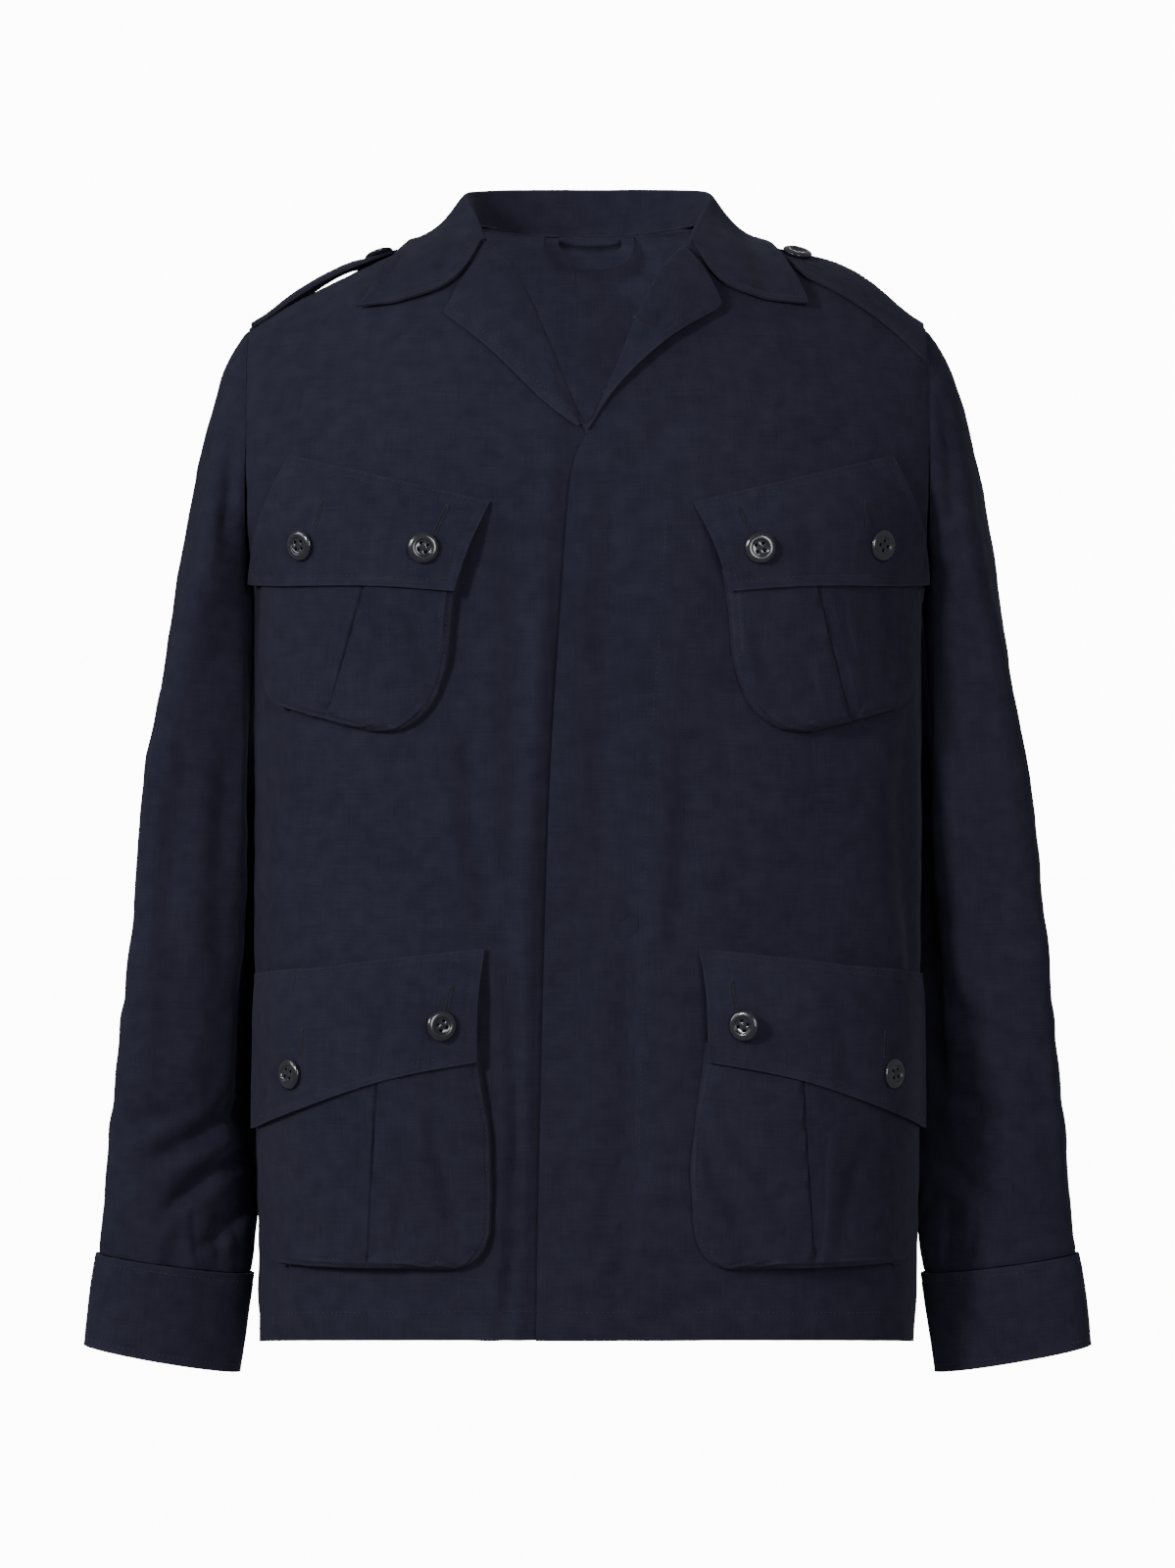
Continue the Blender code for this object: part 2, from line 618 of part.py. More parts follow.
FLAP_COLUMNS, FLAP_ROWS = 12, 5


def flap_place(kind, side):
    def place(i, j):
        p, q = flap_spot(kind, i / FLAP_COLUMNS, 1 - j / FLAP_ROWS)
        return pocket_point(kind, side, p, q, flap_height(kind, p, q))

    return place


for kind in ("chest", "hip"):
    for side in ("left", "right"):
        place, columns, rows = bag_place(kind, side)
        cloth(f"{kind}_pocket_{side}", columns, rows, place, 1.3, mirrored=side == "right")
        cloth(f"{kind}_flap_{side}", FLAP_COLUMNS, FLAP_ROWS, flap_place(kind, side), DOUBLED,
              mirrored=side == "right")


# Buttons
def button(name, spot, normal, lean=0.0):
    """A dished button turned about its own axis, standing on the cloth."""
    mesh = bpy.data.meshes.new(name)
    mesh.from_pydata([(r * MM, 0, z * MM) for r, z in BUTTON_PROFILE],
                     [(k, k + 1) for k in range(len(BUTTON_PROFILE) - 1)], [])
    mesh.materials.append(HORN)
    piece = bpy.data.objects.new(name, mesh)
    parts.objects.link(piece)
    turned = piece.modifiers.new("turned", "SCREW")
    turned.steps = turned.render_steps = BUTTON_STEPS
    turned.use_merge_vertices = True
    turned.merge_threshold = 1e-6
    turned.use_normal_calculate = True
    tip = math.radians(lean)
    axis = (normal.normalized() * math.cos(tip)
            + Vector((-math.copysign(1, spot.x), 0, 0)) * math.sin(tip)).normalized()
    rise = BUTTON_CLEAR + BUTTON_FOOT * math.sqrt(max(1 - axis.dot(normal.normalized()) ** 2, 0))
    piece.location = (spot + normal.normalized() * rise) * MM
    piece.rotation_euler = axis.to_track_quat("Z", "Y").to_euler()
    return piece


for entry in BUTTONS:
    for side in ("left", "right"):
        sign = 1 if side == "left" else -1
        spots = [pocket_point(entry.pocket, side, entry.along + dp, entry.down + dq,
                              flap_height(entry.pocket, entry.along + dp, entry.down + dq))
                 for dp, dq in ((0, 0), (8, 0), (-8, 0), (0, 8), (0, -8))]
        normal = (spots[1] - spots[2]).cross(spots[4] - spots[3])
        if normal.y > 0:
            normal = -normal
        inner = "inner" if entry.along < 60 else "outer"
        # the cloth curves away under the button, so it stands a little off it
        sag = max((spots[0] - spot).dot(normal.normalized()) for spot in spots[1:])
        middle = spots[0] + normal.normalized() * max(-sag, 0) + normal.normalized() * 0.25
        button(f"{entry.pocket}_button_{inner}_{side}", Vector((sign * middle.x, middle.y, middle.z)),
               Vector((sign * normal.x, normal.y, normal.z)), entry.lean)


# Shoulder straps
STRAP_COLUMNS, STRAP_ROWS = 14, 4


def strap_place(side):
    strap = STRAPS[side]

    def place(i, j):
        t = i / STRAP_COLUMNS
        x = mix(STRAP_FROM, STRAP_TO, t)
        point = clamp((x - STRAP_TO) / STRAP_POINT, 0.08, 1.0)
        y = strap.middle + strap.breadth * point * (j / STRAP_ROWS - 0.5)
        arch = mix(strap.arch_front, strap.arch_back, j / STRAP_ROWS)
        lift = DOUBLED + 0.9 + arch * math.sin(math.pi * clamp((t - 0.1) / 0.85))
        return shoulder_point(x, y, lift)

    return place


for side in ("left", "right"):
    sign = 1 if side == "left" else -1
    grid = strap_place(side)
    cloth("epaulette_" + side, STRAP_COLUMNS, STRAP_ROWS, grid, DOUBLED,
          mirrored=side == "right", flip=True)
    column_at = round((STRAP_FROM - STRAP_BUTTON_AT) / (STRAP_FROM - STRAP_TO) * STRAP_COLUMNS)
    middle = grid(column_at, 2)
    lengthwise = grid(column_at - 1, 2) - grid(column_at + 1, 2)
    normal = lengthwise.cross(grid(column_at, 3) - grid(column_at, 1)).normalized()
    middle += normal * 0.6
    button("epaulette_button_" + side, Vector((sign * middle.x, middle.y, middle.z)),
           Vector((sign * normal.x, normal.y, normal.z)))


# Collar and lapels
COLLAR_COLUMNS = 30
COLLAR_LEAF_ROWS = 5


def collar_section(share, side):
    """Points of the collar's section at a share of the way from the centre back to the front end."""
    tip = COLLAR_TIPS[side]
    at = CollarAt(share, *(column(COLLAR, "share", name, share) for name in CollarAt._fields[1:]))
    if at.seam_y < 4:
        seam = shoulder_point(at.seam_x, at.seam_y)
    else:
        top = neck_top(at.seam_x)
        seam = Vector((at.seam_x, max(body_y("back", at.seam_x, top), 4.0), top))
    seam.z += 0.6
    roll = Vector((at.roll_x, at.roll_y, at.roll_z))
    edge = shoulder_point(at.leaf_x, at.leaf_y, at.lift)
    if share > 0.99:
        edge = body_point("front_left", *tip, at.lift)
    outward = Vector((edge.x - seam.x, edge.y - seam.y, 0)).normalized()
    round_ = at.roll
    points = [seam, mix(seam, roll - outward * round_ * 0.6, 0.55)]
    points += [roll + Vector((0, 0, -round_ * 0.9)) - outward * round_ * 0.8,
               roll + Vector((0, 0, -0.2 * round_)) - outward * round_ * 0.45,
               roll + outward * round_ * 0.35,
               roll + outward * round_ * 1.3 - Vector((0, 0, 0.7 * round_))]
    start = points[-1]
    front = ease((share - 0.84) / 0.16)
    for k in range(1, COLLAR_LEAF_ROWS + 1):
        t = k / COLLAR_LEAF_ROWS
        flat = mix(start, edge, t) - Vector((0, 0, at.sag * math.sin(math.pi * t)))
        points.append(mix(flat, collar_front(t, tip), front) if front > 0 else flat)
    return points


def collar_front(t, tip):
    """The collar's front end: down the gorge to the notch, then along the leaf's front edge to its tip."""
    gorge = 0.30
    first = (COLLAR[-1].roll_x + 1.5, COLLAR[-1].roll_z - 4.0)
    if t <= gorge:
        x, z = (mix(first[k], NOTCH[k], t / gorge) for k in (0, 1))
    else:
        run = (t - gorge) / (1 - gorge)
        x, z = (mix(NOTCH[k], tip[k], run) for k in (0, 1))
        z += COLLAR_FRONT_BOW * math.sin(math.pi * run) * 0.8
    return body_point("front_left", x, z, mix(4.4, COLLAR[-1].lift, t))


def collar_place(i, j):
    share = 2 * i / COLLAR_COLUMNS - 1
    spread_share = 1 - (1 - abs(share)) ** 1.15
    spot = collar_section(spread_share, "left" if share > 0 else "right")[j]
    return Vector((math.copysign(spot.x, share) if share else 0.0, spot.y, spot.z))


cloth("collar", COLLAR_COLUMNS, 5 + COLLAR_LEAF_ROWS, collar_place, COLLAR_WALL, flip=False)

LAPEL_ROWS = 9
LAPEL_ACROSS = 5
LAPEL_ARC = (180, 135, 90, 45)


def front_edge(side, drop):
    """The front's inner edge at a drop, straight from row to row as the panel is."""
    j = next(k for k in range(len(FRONT_ROWS) - 1) if FRONT_ROWS[k + 1].inner <= drop)
    ends = front_place(side, FRONT_COLUMNS)(0, j), front_place(side, FRONT_COLUMNS)(0, j + 1)
    return mix(*ends, (FRONT_ROWS[j].inner - drop) / (FRONT_ROWS[j].inner - FRONT_ROWS[j + 1].inner))


def lapel_place(side):
    lapel = LAPELS[side]
    panel = "front_left"

    def place(i, j):
        t = 1 - j / LAPEL_ROWS
        drop = mix(BREAK[0].drop + 3.0, lapel.end_drop, t)
        core = front_edge(side, drop)
        x = core.x
        outer = Vector((mix(lapel.tip_x, inner_edge(side, lapel.end_drop) + 3.0, t),
                        -mix(lapel.tip_drop, lapel.end_drop + 1.5, t)))
        outer = outer + Vector((0.55, 0.84)) * lapel.bow * math.sin(math.pi * t)
        rest = i - 1 - len(LAPEL_ARC)
        normal = body_point(panel, x, -drop, 1.0) - body_point(panel, x, -drop)
        ahead = body_point(panel, mix(x, outer.x, 0.2), mix(-drop, outer.y, 0.2))
        ahead = ahead - body_point(panel, x, -drop)
        ahead = (ahead - normal * ahead.dot(normal)).normalized()
        middle = core - normal * CLOTH / 2
        radius = CLOTH / 2 + 2 * SEAM + LAPEL_WALL + 0.6 * (1 - t) ** 3
        if rest < 0:
            if i == 0:
                return middle - normal * radius + ahead * LAPEL_INSIDE * (1 - 0.6 * t)
            angle = math.radians(LAPEL_ARC[i - 1])
            return middle + normal * radius * math.cos(angle) - ahead * radius * math.sin(angle)
        s = rest / LAPEL_ACROSS
        lift = mix(LAPEL_WALL + 2 * SEAM + 0.6 * (1 - t) ** 3, lapel.edge_lift, ease(s * 1.5)) \
            + (lapel.roll_lift - 2.0) * math.sin(math.pi * clamp(s * 0.95)) * (1 - 0.55 * t)
        lift += 1.7 * ease((s - 0.05) / 0.4) * (1 - t) ** 2
        spot_x, spot_z = mix(x, outer.x, s), mix(-drop, outer.y, s)
        lift += lap(side, spot_x) * ease((-spot_z - 70) / 45)
        return body_point(panel, spot_x, spot_z, lift)

    return place


for side in ("left", "right"):
    cloth("lapel_" + side, 1 + len(LAPEL_ARC) + LAPEL_ACROSS, LAPEL_ROWS, lapel_place(side), LAPEL_WALL,
          mirrored=side == "right")


# Hanger loop
LOOP_COLUMNS = 16


def loop_place(i, j):
    t = i / LOOP_COLUMNS * (len(LOOP_PATH) - 1)
    places = list(range(len(LOOP_PATH)))

    def spot(at):
        return Vector([along(places, [p[k] for p in LOOP_PATH], at) for k in (0, 1)])

    way = (spot(min(t + 0.1, places[-1])) - spot(max(t - 0.1, 0))).normalized()
    across = Vector((-way.y, way.x)) * LOOP_BREADTH
    here = spot(t) + across * (j / 2 - 0.5)
    height = min(here.y, -0.6)
    # the tape hangs straight down from its upper edge
    upper = min(spot(t).y + abs(across.y) / 2, -0.6)
    ends = abs(2 * i / LOOP_COLUMNS - 1)
    inward = LOOP_INSET + LOOP_STANDOFF * (1 - ends ** 3)
    return Vector((here.x, body_y("back", here.x, upper) - inward, height))


cloth("hanger_loop", LOOP_COLUMNS, 2, loop_place, LOOP_WALL)
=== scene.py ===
"""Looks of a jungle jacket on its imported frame: cloth, sewing, buttons and a plain studio."""
import math
from collections import namedtuple

import bmesh
import bpy
import numpy as np
from bpy.props import FloatProperty, FloatVectorProperty, PointerProperty
from mathutils import Matrix, Vector
from mathutils.bvhtree import BVHTree
from mathutils.kdtree import KDTree


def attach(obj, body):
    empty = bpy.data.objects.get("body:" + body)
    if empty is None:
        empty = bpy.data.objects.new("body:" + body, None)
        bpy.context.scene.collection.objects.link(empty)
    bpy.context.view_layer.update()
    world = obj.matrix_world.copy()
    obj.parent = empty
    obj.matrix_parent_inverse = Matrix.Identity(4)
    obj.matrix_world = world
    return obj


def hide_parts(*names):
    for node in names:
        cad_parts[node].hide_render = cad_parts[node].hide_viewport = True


bl_info = {
    "name": "Jungle jacket",
    "version": (1, 0, 0),
    "blender": (4, 5, 0),
    "location": "View3D > Sidebar > Jacket",
    "description": "Dresses the jacket's solids in sewn cloth and turned buttons",
    "category": "Object",
}

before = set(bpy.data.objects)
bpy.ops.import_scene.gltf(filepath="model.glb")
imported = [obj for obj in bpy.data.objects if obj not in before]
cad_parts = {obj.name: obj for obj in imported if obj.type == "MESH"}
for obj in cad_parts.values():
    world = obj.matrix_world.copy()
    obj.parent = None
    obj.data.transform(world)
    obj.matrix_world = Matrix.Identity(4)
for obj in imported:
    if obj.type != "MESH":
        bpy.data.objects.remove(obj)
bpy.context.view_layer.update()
MM = 0.001

# The photograph's frame, and the camera that matches it: level, facing the front.
IMAGE_WIDTH, IMAGE_HEIGHT = 1199, 1600
FOCAL_PIXELS = 5468.75
CAMERA_DISTANCE = 3.5
CAMERA_HEIGHT = -0.363
MM_PER_PIXEL = 0.64

# Walls of the pieces, in mm, and how finely each is divided.
Piece = namedtuple("Piece", "node wall levels held rests_on")
PANELS = (
    Piece("back", 1.5, 3, "hung", ("collar",)),
    Piece("front_left", 1.5, 3, "hung", ("back",)),
    Piece("front_right", 1.5, 3, "hung", ("back",)),
)
SLEEVES = (
    Piece("sleeve_left", 1.5, 3, "hung", ("front_left", "back")),
    Piece("sleeve_right", 1.5, 3, "hung", ("front_right", "back")),
    Piece("cuff_left", 2.0, 3, "hung", ("sleeve_left",)),
    Piece("cuff_right", 2.0, 3, "hung", ("sleeve_right",)),
)
COLLAR = (
    Piece("collar", 1.8, 3, "folded", ("back", "front_left", "front_right")),
    Piece("lapel_left", 1.6, 3, "folded", ("front_left",)),
    Piece("lapel_right", 1.6, 3, "folded", ("front_right",)),
)
POCKETS = tuple(
    Piece(f"{place}_{kind}_{side}", wall, 3, "hung", (f"front_{side}",))
    for place in ("chest", "hip") for side in ("left", "right")
    for kind, wall in (("pocket", 1.3), ("flap", 2.0))
)
STRAPS = (
    Piece("epaulette_left", 2.0, 2, "laid", ("front_left", "back")),
    Piece("epaulette_right", 2.0, 2, "laid", ("front_right", "back")),
    Piece("hanger_loop", 1.4, 2, "hung", ("back",)),
)

# Creases by piece, as lines over the cloth seen from one side: both ends, half breadth and depth in mm (a
# trough is below zero), and how far the middle bows. Beside a trough stands a soft ridge: its share of the
# depth, and its place and breadth in breadths of the trough. Ends run over and fade by shares of the line.
RIDGE, RIDGE_OFF, RIDGE_BREADTH = 0.45, 1.7, 1.25
CREASE_OVERRUN, CREASE_FADE = 0.15, 0.4

# Pleats of the pocket bags, in the photograph's pixels. In mm: the closed line's depth, half breadth and
# fade; the sides drawn together, and by which power; what is levelled, and its fades; the cloth beside it
# that gives the level, and the unit of its fit; how far a pleat runs on above and below its line; where the
# bags' stitches keep clear of it.
PLEATS = {
    "chest_pocket_right": (369, 600, 335, 724), "chest_pocket_left": (836, 600, 869, 738),
    "hip_pocket_right": (381, 1140, 374, 1292), "hip_pocket_left": (821, 1112, 831, 1280),
}
PLEAT_DEPTH, PLEAT_LINE, PLEAT_LINE_FADE = 2.4, 0.5, 14
PLEAT_SIDES, PLEAT_DRAW = 7, 1.7
PLEAT_LEVEL, PLEAT_LEVEL_FADE, PLEAT_FOOT_FADE = 18, 4, 8
PLEAT_BESIDE, PLEAT_UNIT = (15, 32), 20
PLEAT_ABOVE, PLEAT_BELOW = 60, 2
FOLD_CLEAR, FOLD_PAST = 17, 6

# Seen in the photograph, in its pixels. The wearer's right is on the photograph's left.
FRONT_CREASES = {
    "sleeve_right": (
        (150, 1190, 262, 1120, 7, -2.6, 2), (165, 1242, 258, 1172, 6, -2.4, -3),
        (205, 1275, 256, 1222, 5, -1.8, 2), (128, 1150, 200, 1128, 6, -1.4, 1),
        (216, 400, 196, 640, 14, -1.8, 3), (246, 420, 232, 560, 7, -2.6, 2),
        (190, 700, 172, 930, 12, -1.4, -3), (236, 760, 226, 1010, 10, -1.8, 3),
        (158, 900, 150, 1120, 9, 1.2, 2), (196, 1232, 203, 1296, 3, -0.6, 0),
        (222, 1240, 224, 1298, 3, -0.7, 0), (240, 1236, 243, 1300, 3, -0.6, 0),
    ),
    "sleeve_left": (
        (960, 400, 972, 560, 8, -2.4, -2), (992, 430, 1010, 660, 14, -1.6, -3),
        (985, 690, 1002, 900, 11, -1.6, 3), (1022, 740, 1046, 1010, 13, 1.3, 3),
        (962, 1010, 1040, 1080, 8, -1.7, 3), (960, 1110, 1052, 1170, 7, -1.8, -2),
        (958, 1180, 1020, 1228, 6, -1.6, 2), (1058, 1050, 1078, 1230, 8, -1.2, 2),
        (970, 1226, 966, 1292, 3, -0.7, 0), (996, 1232, 990, 1290, 3, -0.7, 0),
        (1026, 1226, 1022, 1282, 3, -0.5, 0),
    ),
    "front_right": (
        (478, 735, 500, 960, 9, -1.9, 3), (524, 560, 516, 960, 10, -1.3, -3),
        (517, 977, 515, 1366, 5, -2.6, -6), (583, 470, 546, 1366, 7.5, -2.6, 4.5),
        (300, 770, 330, 960, 12, -1.2, 3), (282, 640, 264, 900, 9, -1.6, -2),
        (430, 1306, 520, 1362, 8, -1.0, 2), (330, 380, 470, 350, 14, -1.2, 4),
        (470, 400, 560, 470, 10, -1.2, -3),
    ),
    "front_left": (
        (600, 962, 668, 936, 6, -1.5, 2), (598, 1268, 646, 1184, 9, -0.9, 2),
        (590, 1292, 652, 1246, 5, -1.2, -2), (626, 500, 616, 900, 10, -1.2, 3),
        (640, 900, 632, 1366, 10, -1.4, -3), (700, 760, 690, 960, 9, -1.6, -3),
        (742, 690, 900, 760, 11, -1.2, 4), (918, 780, 930, 960, 10, -1.5, 3),
        (760, 400, 880, 372, 14, -1.1, -4), (640, 470, 700, 420, 9, -1.0, 2),
        (760, 1312, 640, 1360, 8, -1.0, 2),
    ),
    "chest_pocket_right": ((420, 620, 448, 700, 6, -0.8, 2), (282, 640, 300, 700, 5, -0.8, -2)),
    "chest_pocket_left": ((770, 640, 800, 720, 6, -0.8, 2), (905, 630, 925, 700, 5, -0.8, 2)),
    "hip_pocket_left": (
        (712, 1150, 776, 1276, 7, -1.8, 4), (730, 1120, 800, 1230, 6, -1.3, 3),
        (880, 1170, 860, 1280, 6, -1.0, 2),
    ),
    "hip_pocket_right": ((440, 1120, 470, 1260, 7, -1.4, 3), (290, 1180, 310, 1280, 7, -1.0, -2)),
    "hip_flap_left": ((780, 985, 800, 1090, 9, -0.8, 3), (850, 1010, 870, 1120, 8, -0.7, -2)),
    "hip_flap_right": ((400, 990, 390, 1100, 9, -0.8, 3),),
    "chest_flap_left": ((820, 500, 838, 596, 8, -0.7, 2),),
    "chest_flap_right": ((384, 490, 372, 592, 8, -0.7, 2),),
    "collar": (
        (420, 236, 396, 306, 7, -0.9, 2), (470, 216, 446, 284, 6, -0.7, -2),
        (752, 220, 786, 300, 7, -0.9, -2),
    ),
    "lapel_right": ((500, 300, 552, 372, 5, -0.6, 2),),
    "lapel_left": ((690, 300, 640, 366, 5, -0.6, -2),),
}
# Seen from behind, as places across (towards the wearer's left) and drops below the nape, in mm.
BACK_CREASES = {
    "back": (
        (-150, 150, -40, 190, 14, -1.8, 5), (150, 160, 36, 205, 13, -1.8, -5),
        (-190, 260, -120, 330, 11, -2.2, 4), (196, 262, 130, 350, 11, -2.2, -4),
        (-90, 380, -60, 640, 12, -1.8, 4), (30, 420, 44, 720, 13, -1.8, -4),
        (110, 470, 128, 720, 10, -1.6, 3), (-160, 480, -150, 722, 12, -1.5, -3),
        (-30, 90, 40, 84, 15, -1.0, 5), (-60, 520, 70, 560, 12, -1.0, 6),
    ),
    "sleeve_left": (
        (232, 300, 262, 470, 10, -2.0, 4), (240, 480, 292, 540, 8, -2.2, -3),
        (238, 545, 296, 590, 7, -2.0, 3), (286, 600, 262, 672, 6, -1.6, 2),
        (262, 330, 280, 460, 12, 1.6, 3),
    ),
    "sleeve_right": (
        (-232, 310, -262, 480, 10, -2.0, -4), (-242, 470, -294, 530, 8, -2.2, 3),
        (-238, 555, -298, 604, 7, -2.0, -3), (-284, 610, -264, 672, 6, -1.6, -2),
    ),
    "collar": ((-60, -18, -48, 14, 7, -0.7, 2), (40, -20, 52, 12, 7, -0.7, -2)),
}
# Seen from the wearer's left or right, as places towards the back and drops below the nape, in mm.
SIDE_CREASES = {
    "sleeve_left sleeve_right": (
        (-30, 240, 10, 420, 12, -1.0, 5), (40, 200, 60, 380, 12, -0.9, -5), (-40, 440, 70, 480, 9, -0.5, 6),
        (-36, 500, 60, 524, 8, -0.5, -5), (-30, 560, 50, 606, 8, -0.6, 4), (0, 620, 40, 672, 6, -0.8, 3),
    ),
    "front_left front_right back": (
        (-60, 300, -40, 520, 11, -1.1, 4), (30, 290, 50, 560, 12, -1.2, -4),
        (-20, 560, 0, 722, 10, -0.8, 3),
    ),
}
# The sleeves' sides towards the body, seen from the side in the same way.
INNER_CREASES = {
    "sleeve_left sleeve_right": ((-40, 250, 60, 250, 60, 1.6, 0), (44, 340, 44, 560, 26, 1.3, 0)),
}

# How the cloth lies off its smooth form. A side's creases start to show on cloth that faces that side by one
# share and show in full by another more. The sleeves' inner sides and small pieces are calmer, by shares.
# Share, wave in metres and seed of each noise of the cloth's uneven hand, and of the puckers.
FACING_FLAT, FACING_SIDE, FACING_IN, FACING_FILL = (0.02, 0.3), (0.45, 0.35), (0.2, 0.4), (0.1, 0.4)
INNER_CALM, SMALL_CALM = 0.8, 0.35
HAND = ((1.0, 0.11, 3), (0.5, 0.035, 8), (0.16, 0.016, 4))
PUCKER_WAVE, PUCKER_SEED = 0.011, 5
# Seams and rows of stitches, in mm: where creases fade and the share that is left, the dip and its breadth,
# the puckers and their breadth. Painted highlights, paler cloth colour beside rows and on edges near a row,
# as shares.
SEAM_FADE, SEAM_LEFT = 14, 0.2
SEAM_DIP, SEAM_BREADTH, SEAM_PUCKER, SEAM_PUCKER_BREADTH = 0.8, 2.0, 0.25, 7
ROW_FADE, ROW_DIP, ROW_BREADTH, ROW_PUCKER, ROW_PUCKER_BREADTH = 4, 0.40, 1.0, 0.16, 4
ROW_HIGHLIGHT, ROW_HIGHLIGHT_OFF, ROW_HIGHLIGHT_BREADTH = 0.25, 1.6, 1.1
EDGE_HIGHLIGHT, EDGE_HIGHLIGHT_BREADTH, NEAR_EDGE = 0.7, 1.2, 10

# How far each sleeve is filled out beside the body and where it must stop, in mm, and the share by which
# what is ahead of a place is drawn back. A stretch is where it starts and over how much it rises, where it
# ends and over how much it falls: drops below the nape, or places towards the back, in mm.
SLEEVE_FILL = {"sleeve_left": 12.0, "sleeve_right": 20.0}
BODY_SIDE = {"sleeve_left": 222.0, "sleeve_right": 219.0}
FILL_DROP, FILL_BACK = (200, 90, 660, 120), (-62, 32, 10, 26)
SLEEVE_SLACK, SLACK_AHEAD = 0.42, -28
# How far the open neck's end is lowered, over which drops, and where that fades to the sides, in mm.
NECK_LOWERED, NECK_DROP = 12.0, (45, 75, 300, 150)
NECK_ACROSS, NECK_FADE = 80, 60
# The strap on the photograph's left stands off the shoulder: the middle and half length of the place, its
# fade, how far its back edge is lifted there, and the strap's front edge and breadth, in mm.
STRAP_MIDDLE, STRAP_HALF, STRAP_FADE, STRAP_LIFT = -174.0, 38.0, 18, 12.6
STRAP_FRONT, STRAP_BREADTH = -4, 37
# The fold of the lapel on the photograph's right, from the end of the opening up, in its pixels. The lapel
# keeps its width at the top and narrows to a share of it at the end of the opening. Only cloth that faces
# ahead is moved. What moves by a least step (mm) is laid on the old surface by a ray from ahead (metres).
FOLD_FOOT, FOLD_HEAD = (600, 432), (672, 280)
FOOT_SHARE, SHARE_START, SHARE_PER_PIXEL = 0.26, 0.06, 0.0056
LAPEL_FACING, LEAST_STEP, RAY_AHEAD = -0.2, 0.5, 0.1
# How far the collar's neck edge is drawn in and down to the seam, how far up that fades, and from which place
# towards the back it starts and over how much it rises, in mm.
TUCK, TUCK_DROP, TUCK_REACH = 5.0, 1.2, 14.0
TUCK_START, TUCK_RISE = -5, 25

# The neck seam's oval: its radius in metres, and the share by which it is longer to the front.
NECK_RADIUS, NECK_FORWARD = 0.0775, 0.25
# Upper edges of the flaps, how near to them a place counts and how far past their ends, in pixels.
FLAP_TOPS = ((298, 462, 504, 510), (710, 514, 911, 467), (261, 994, 494, 966), (714, 970, 949, 993))
FLAP_TOP_NEAR, FLAP_TOP_PAST = 9, 14


def neck_radius(points):
    """How far beyond the neck seam's oval a place is, in metres."""
    ahead = np.clip(-points[:, 1], 0, None)
    return np.hypot(points[:, 0], points[:, 1]) - NECK_RADIUS - NECK_FORWARD * ahead


def on_flap_top(points):
    """Whether places show on a flap's upper edge in the photograph."""
    view, found = to_photo(points), np.zeros(len(points), bool)
    for line in FLAP_TOPS:
        off, along, length = beside_line(view, *line)
        found |= ((np.abs(off) < FLAP_TOP_NEAR) & (along > -FLAP_TOP_PAST)
                  & (along < length + FLAP_TOP_PAST))
    return found


# Edges of the pieces, told by place: metres, wearer's left +X, up +Z.
EDGES = {
    "all": lambda p: np.ones(len(p), bool),
    "hem": lambda p: p[:, 2] < -0.700,
    "fly": lambda p: (np.abs(p[:, 0]) < 0.070) & (p[:, 2] < -0.128) & (p[:, 2] > -0.706),
    "sewn": lambda p: (p[:, 2] > -0.722) & ((np.abs(p[:, 0]) > 0.072) | (p[:, 2] > -0.010)),
    "leaf": lambda p: neck_radius(p) > 0,
    "neck": lambda p: (neck_radius(p) < 0) & (p[:, 1] > 0.02),
    "front": lambda p: p[:, 1] < -0.085,
    "loose end": lambda p: np.abs(p[:, 0]) < 0.214,
    "flap top": on_flap_top,
}
# Rows of stitches: how far in from an edge, and the heights between which the row runs, in mm. The fly's edge
# is followed on past its top by a share of its length. On a bag's folds only what faces ahead is stitched.
FLAPS = "chest_flap_left chest_flap_right hip_flap_left hip_flap_right"
BAGS = FLAPS.replace("flap", "pocket")
Row = namedtuple("Row", "pieces edge inset low high")
ROWS = (
    Row("back front_left front_right", "hem", 18, -760, -692),
    Row("front_left", "fly", 63, -598, -165),
    Row("collar", "leaf", 6, -90, 60),
    Row("collar", "neck", 2.6, -20, 30),
    Row("lapel_right", "front", 6, -140, 0),
    Row("lapel_left", "front", 6, -74, 0),
    Row("cuff_left cuff_right", "all", 5, -800, -600),
    Row(FLAPS, "all", 6, -700, 0),
    Row(FLAPS, "flap top", 1.6, -700, 0),
    Row(BAGS, "fold", 2.2, -700, 0),
    Row("epaulette_left epaulette_right", "loose end", 5, -120, 20),
)
FLY_ON, FLY_STEPS = 0.15, 40
FOLD_FACING = -0.8
SHORTEST_ROW = 30.0  # mm
SEWN = {
    "back": "sewn", "front_left": "sewn", "front_right": "sewn",
    "sleeve_left": "all", "sleeve_right": "all",
}

# A stitch's height and how deep its ends sink, in breadths of its thread; where it is pinched, as a share.
STITCH_HIGH, STITCH_SUNK, STITCH_PINCH = 0.45, -0.25, 0.2
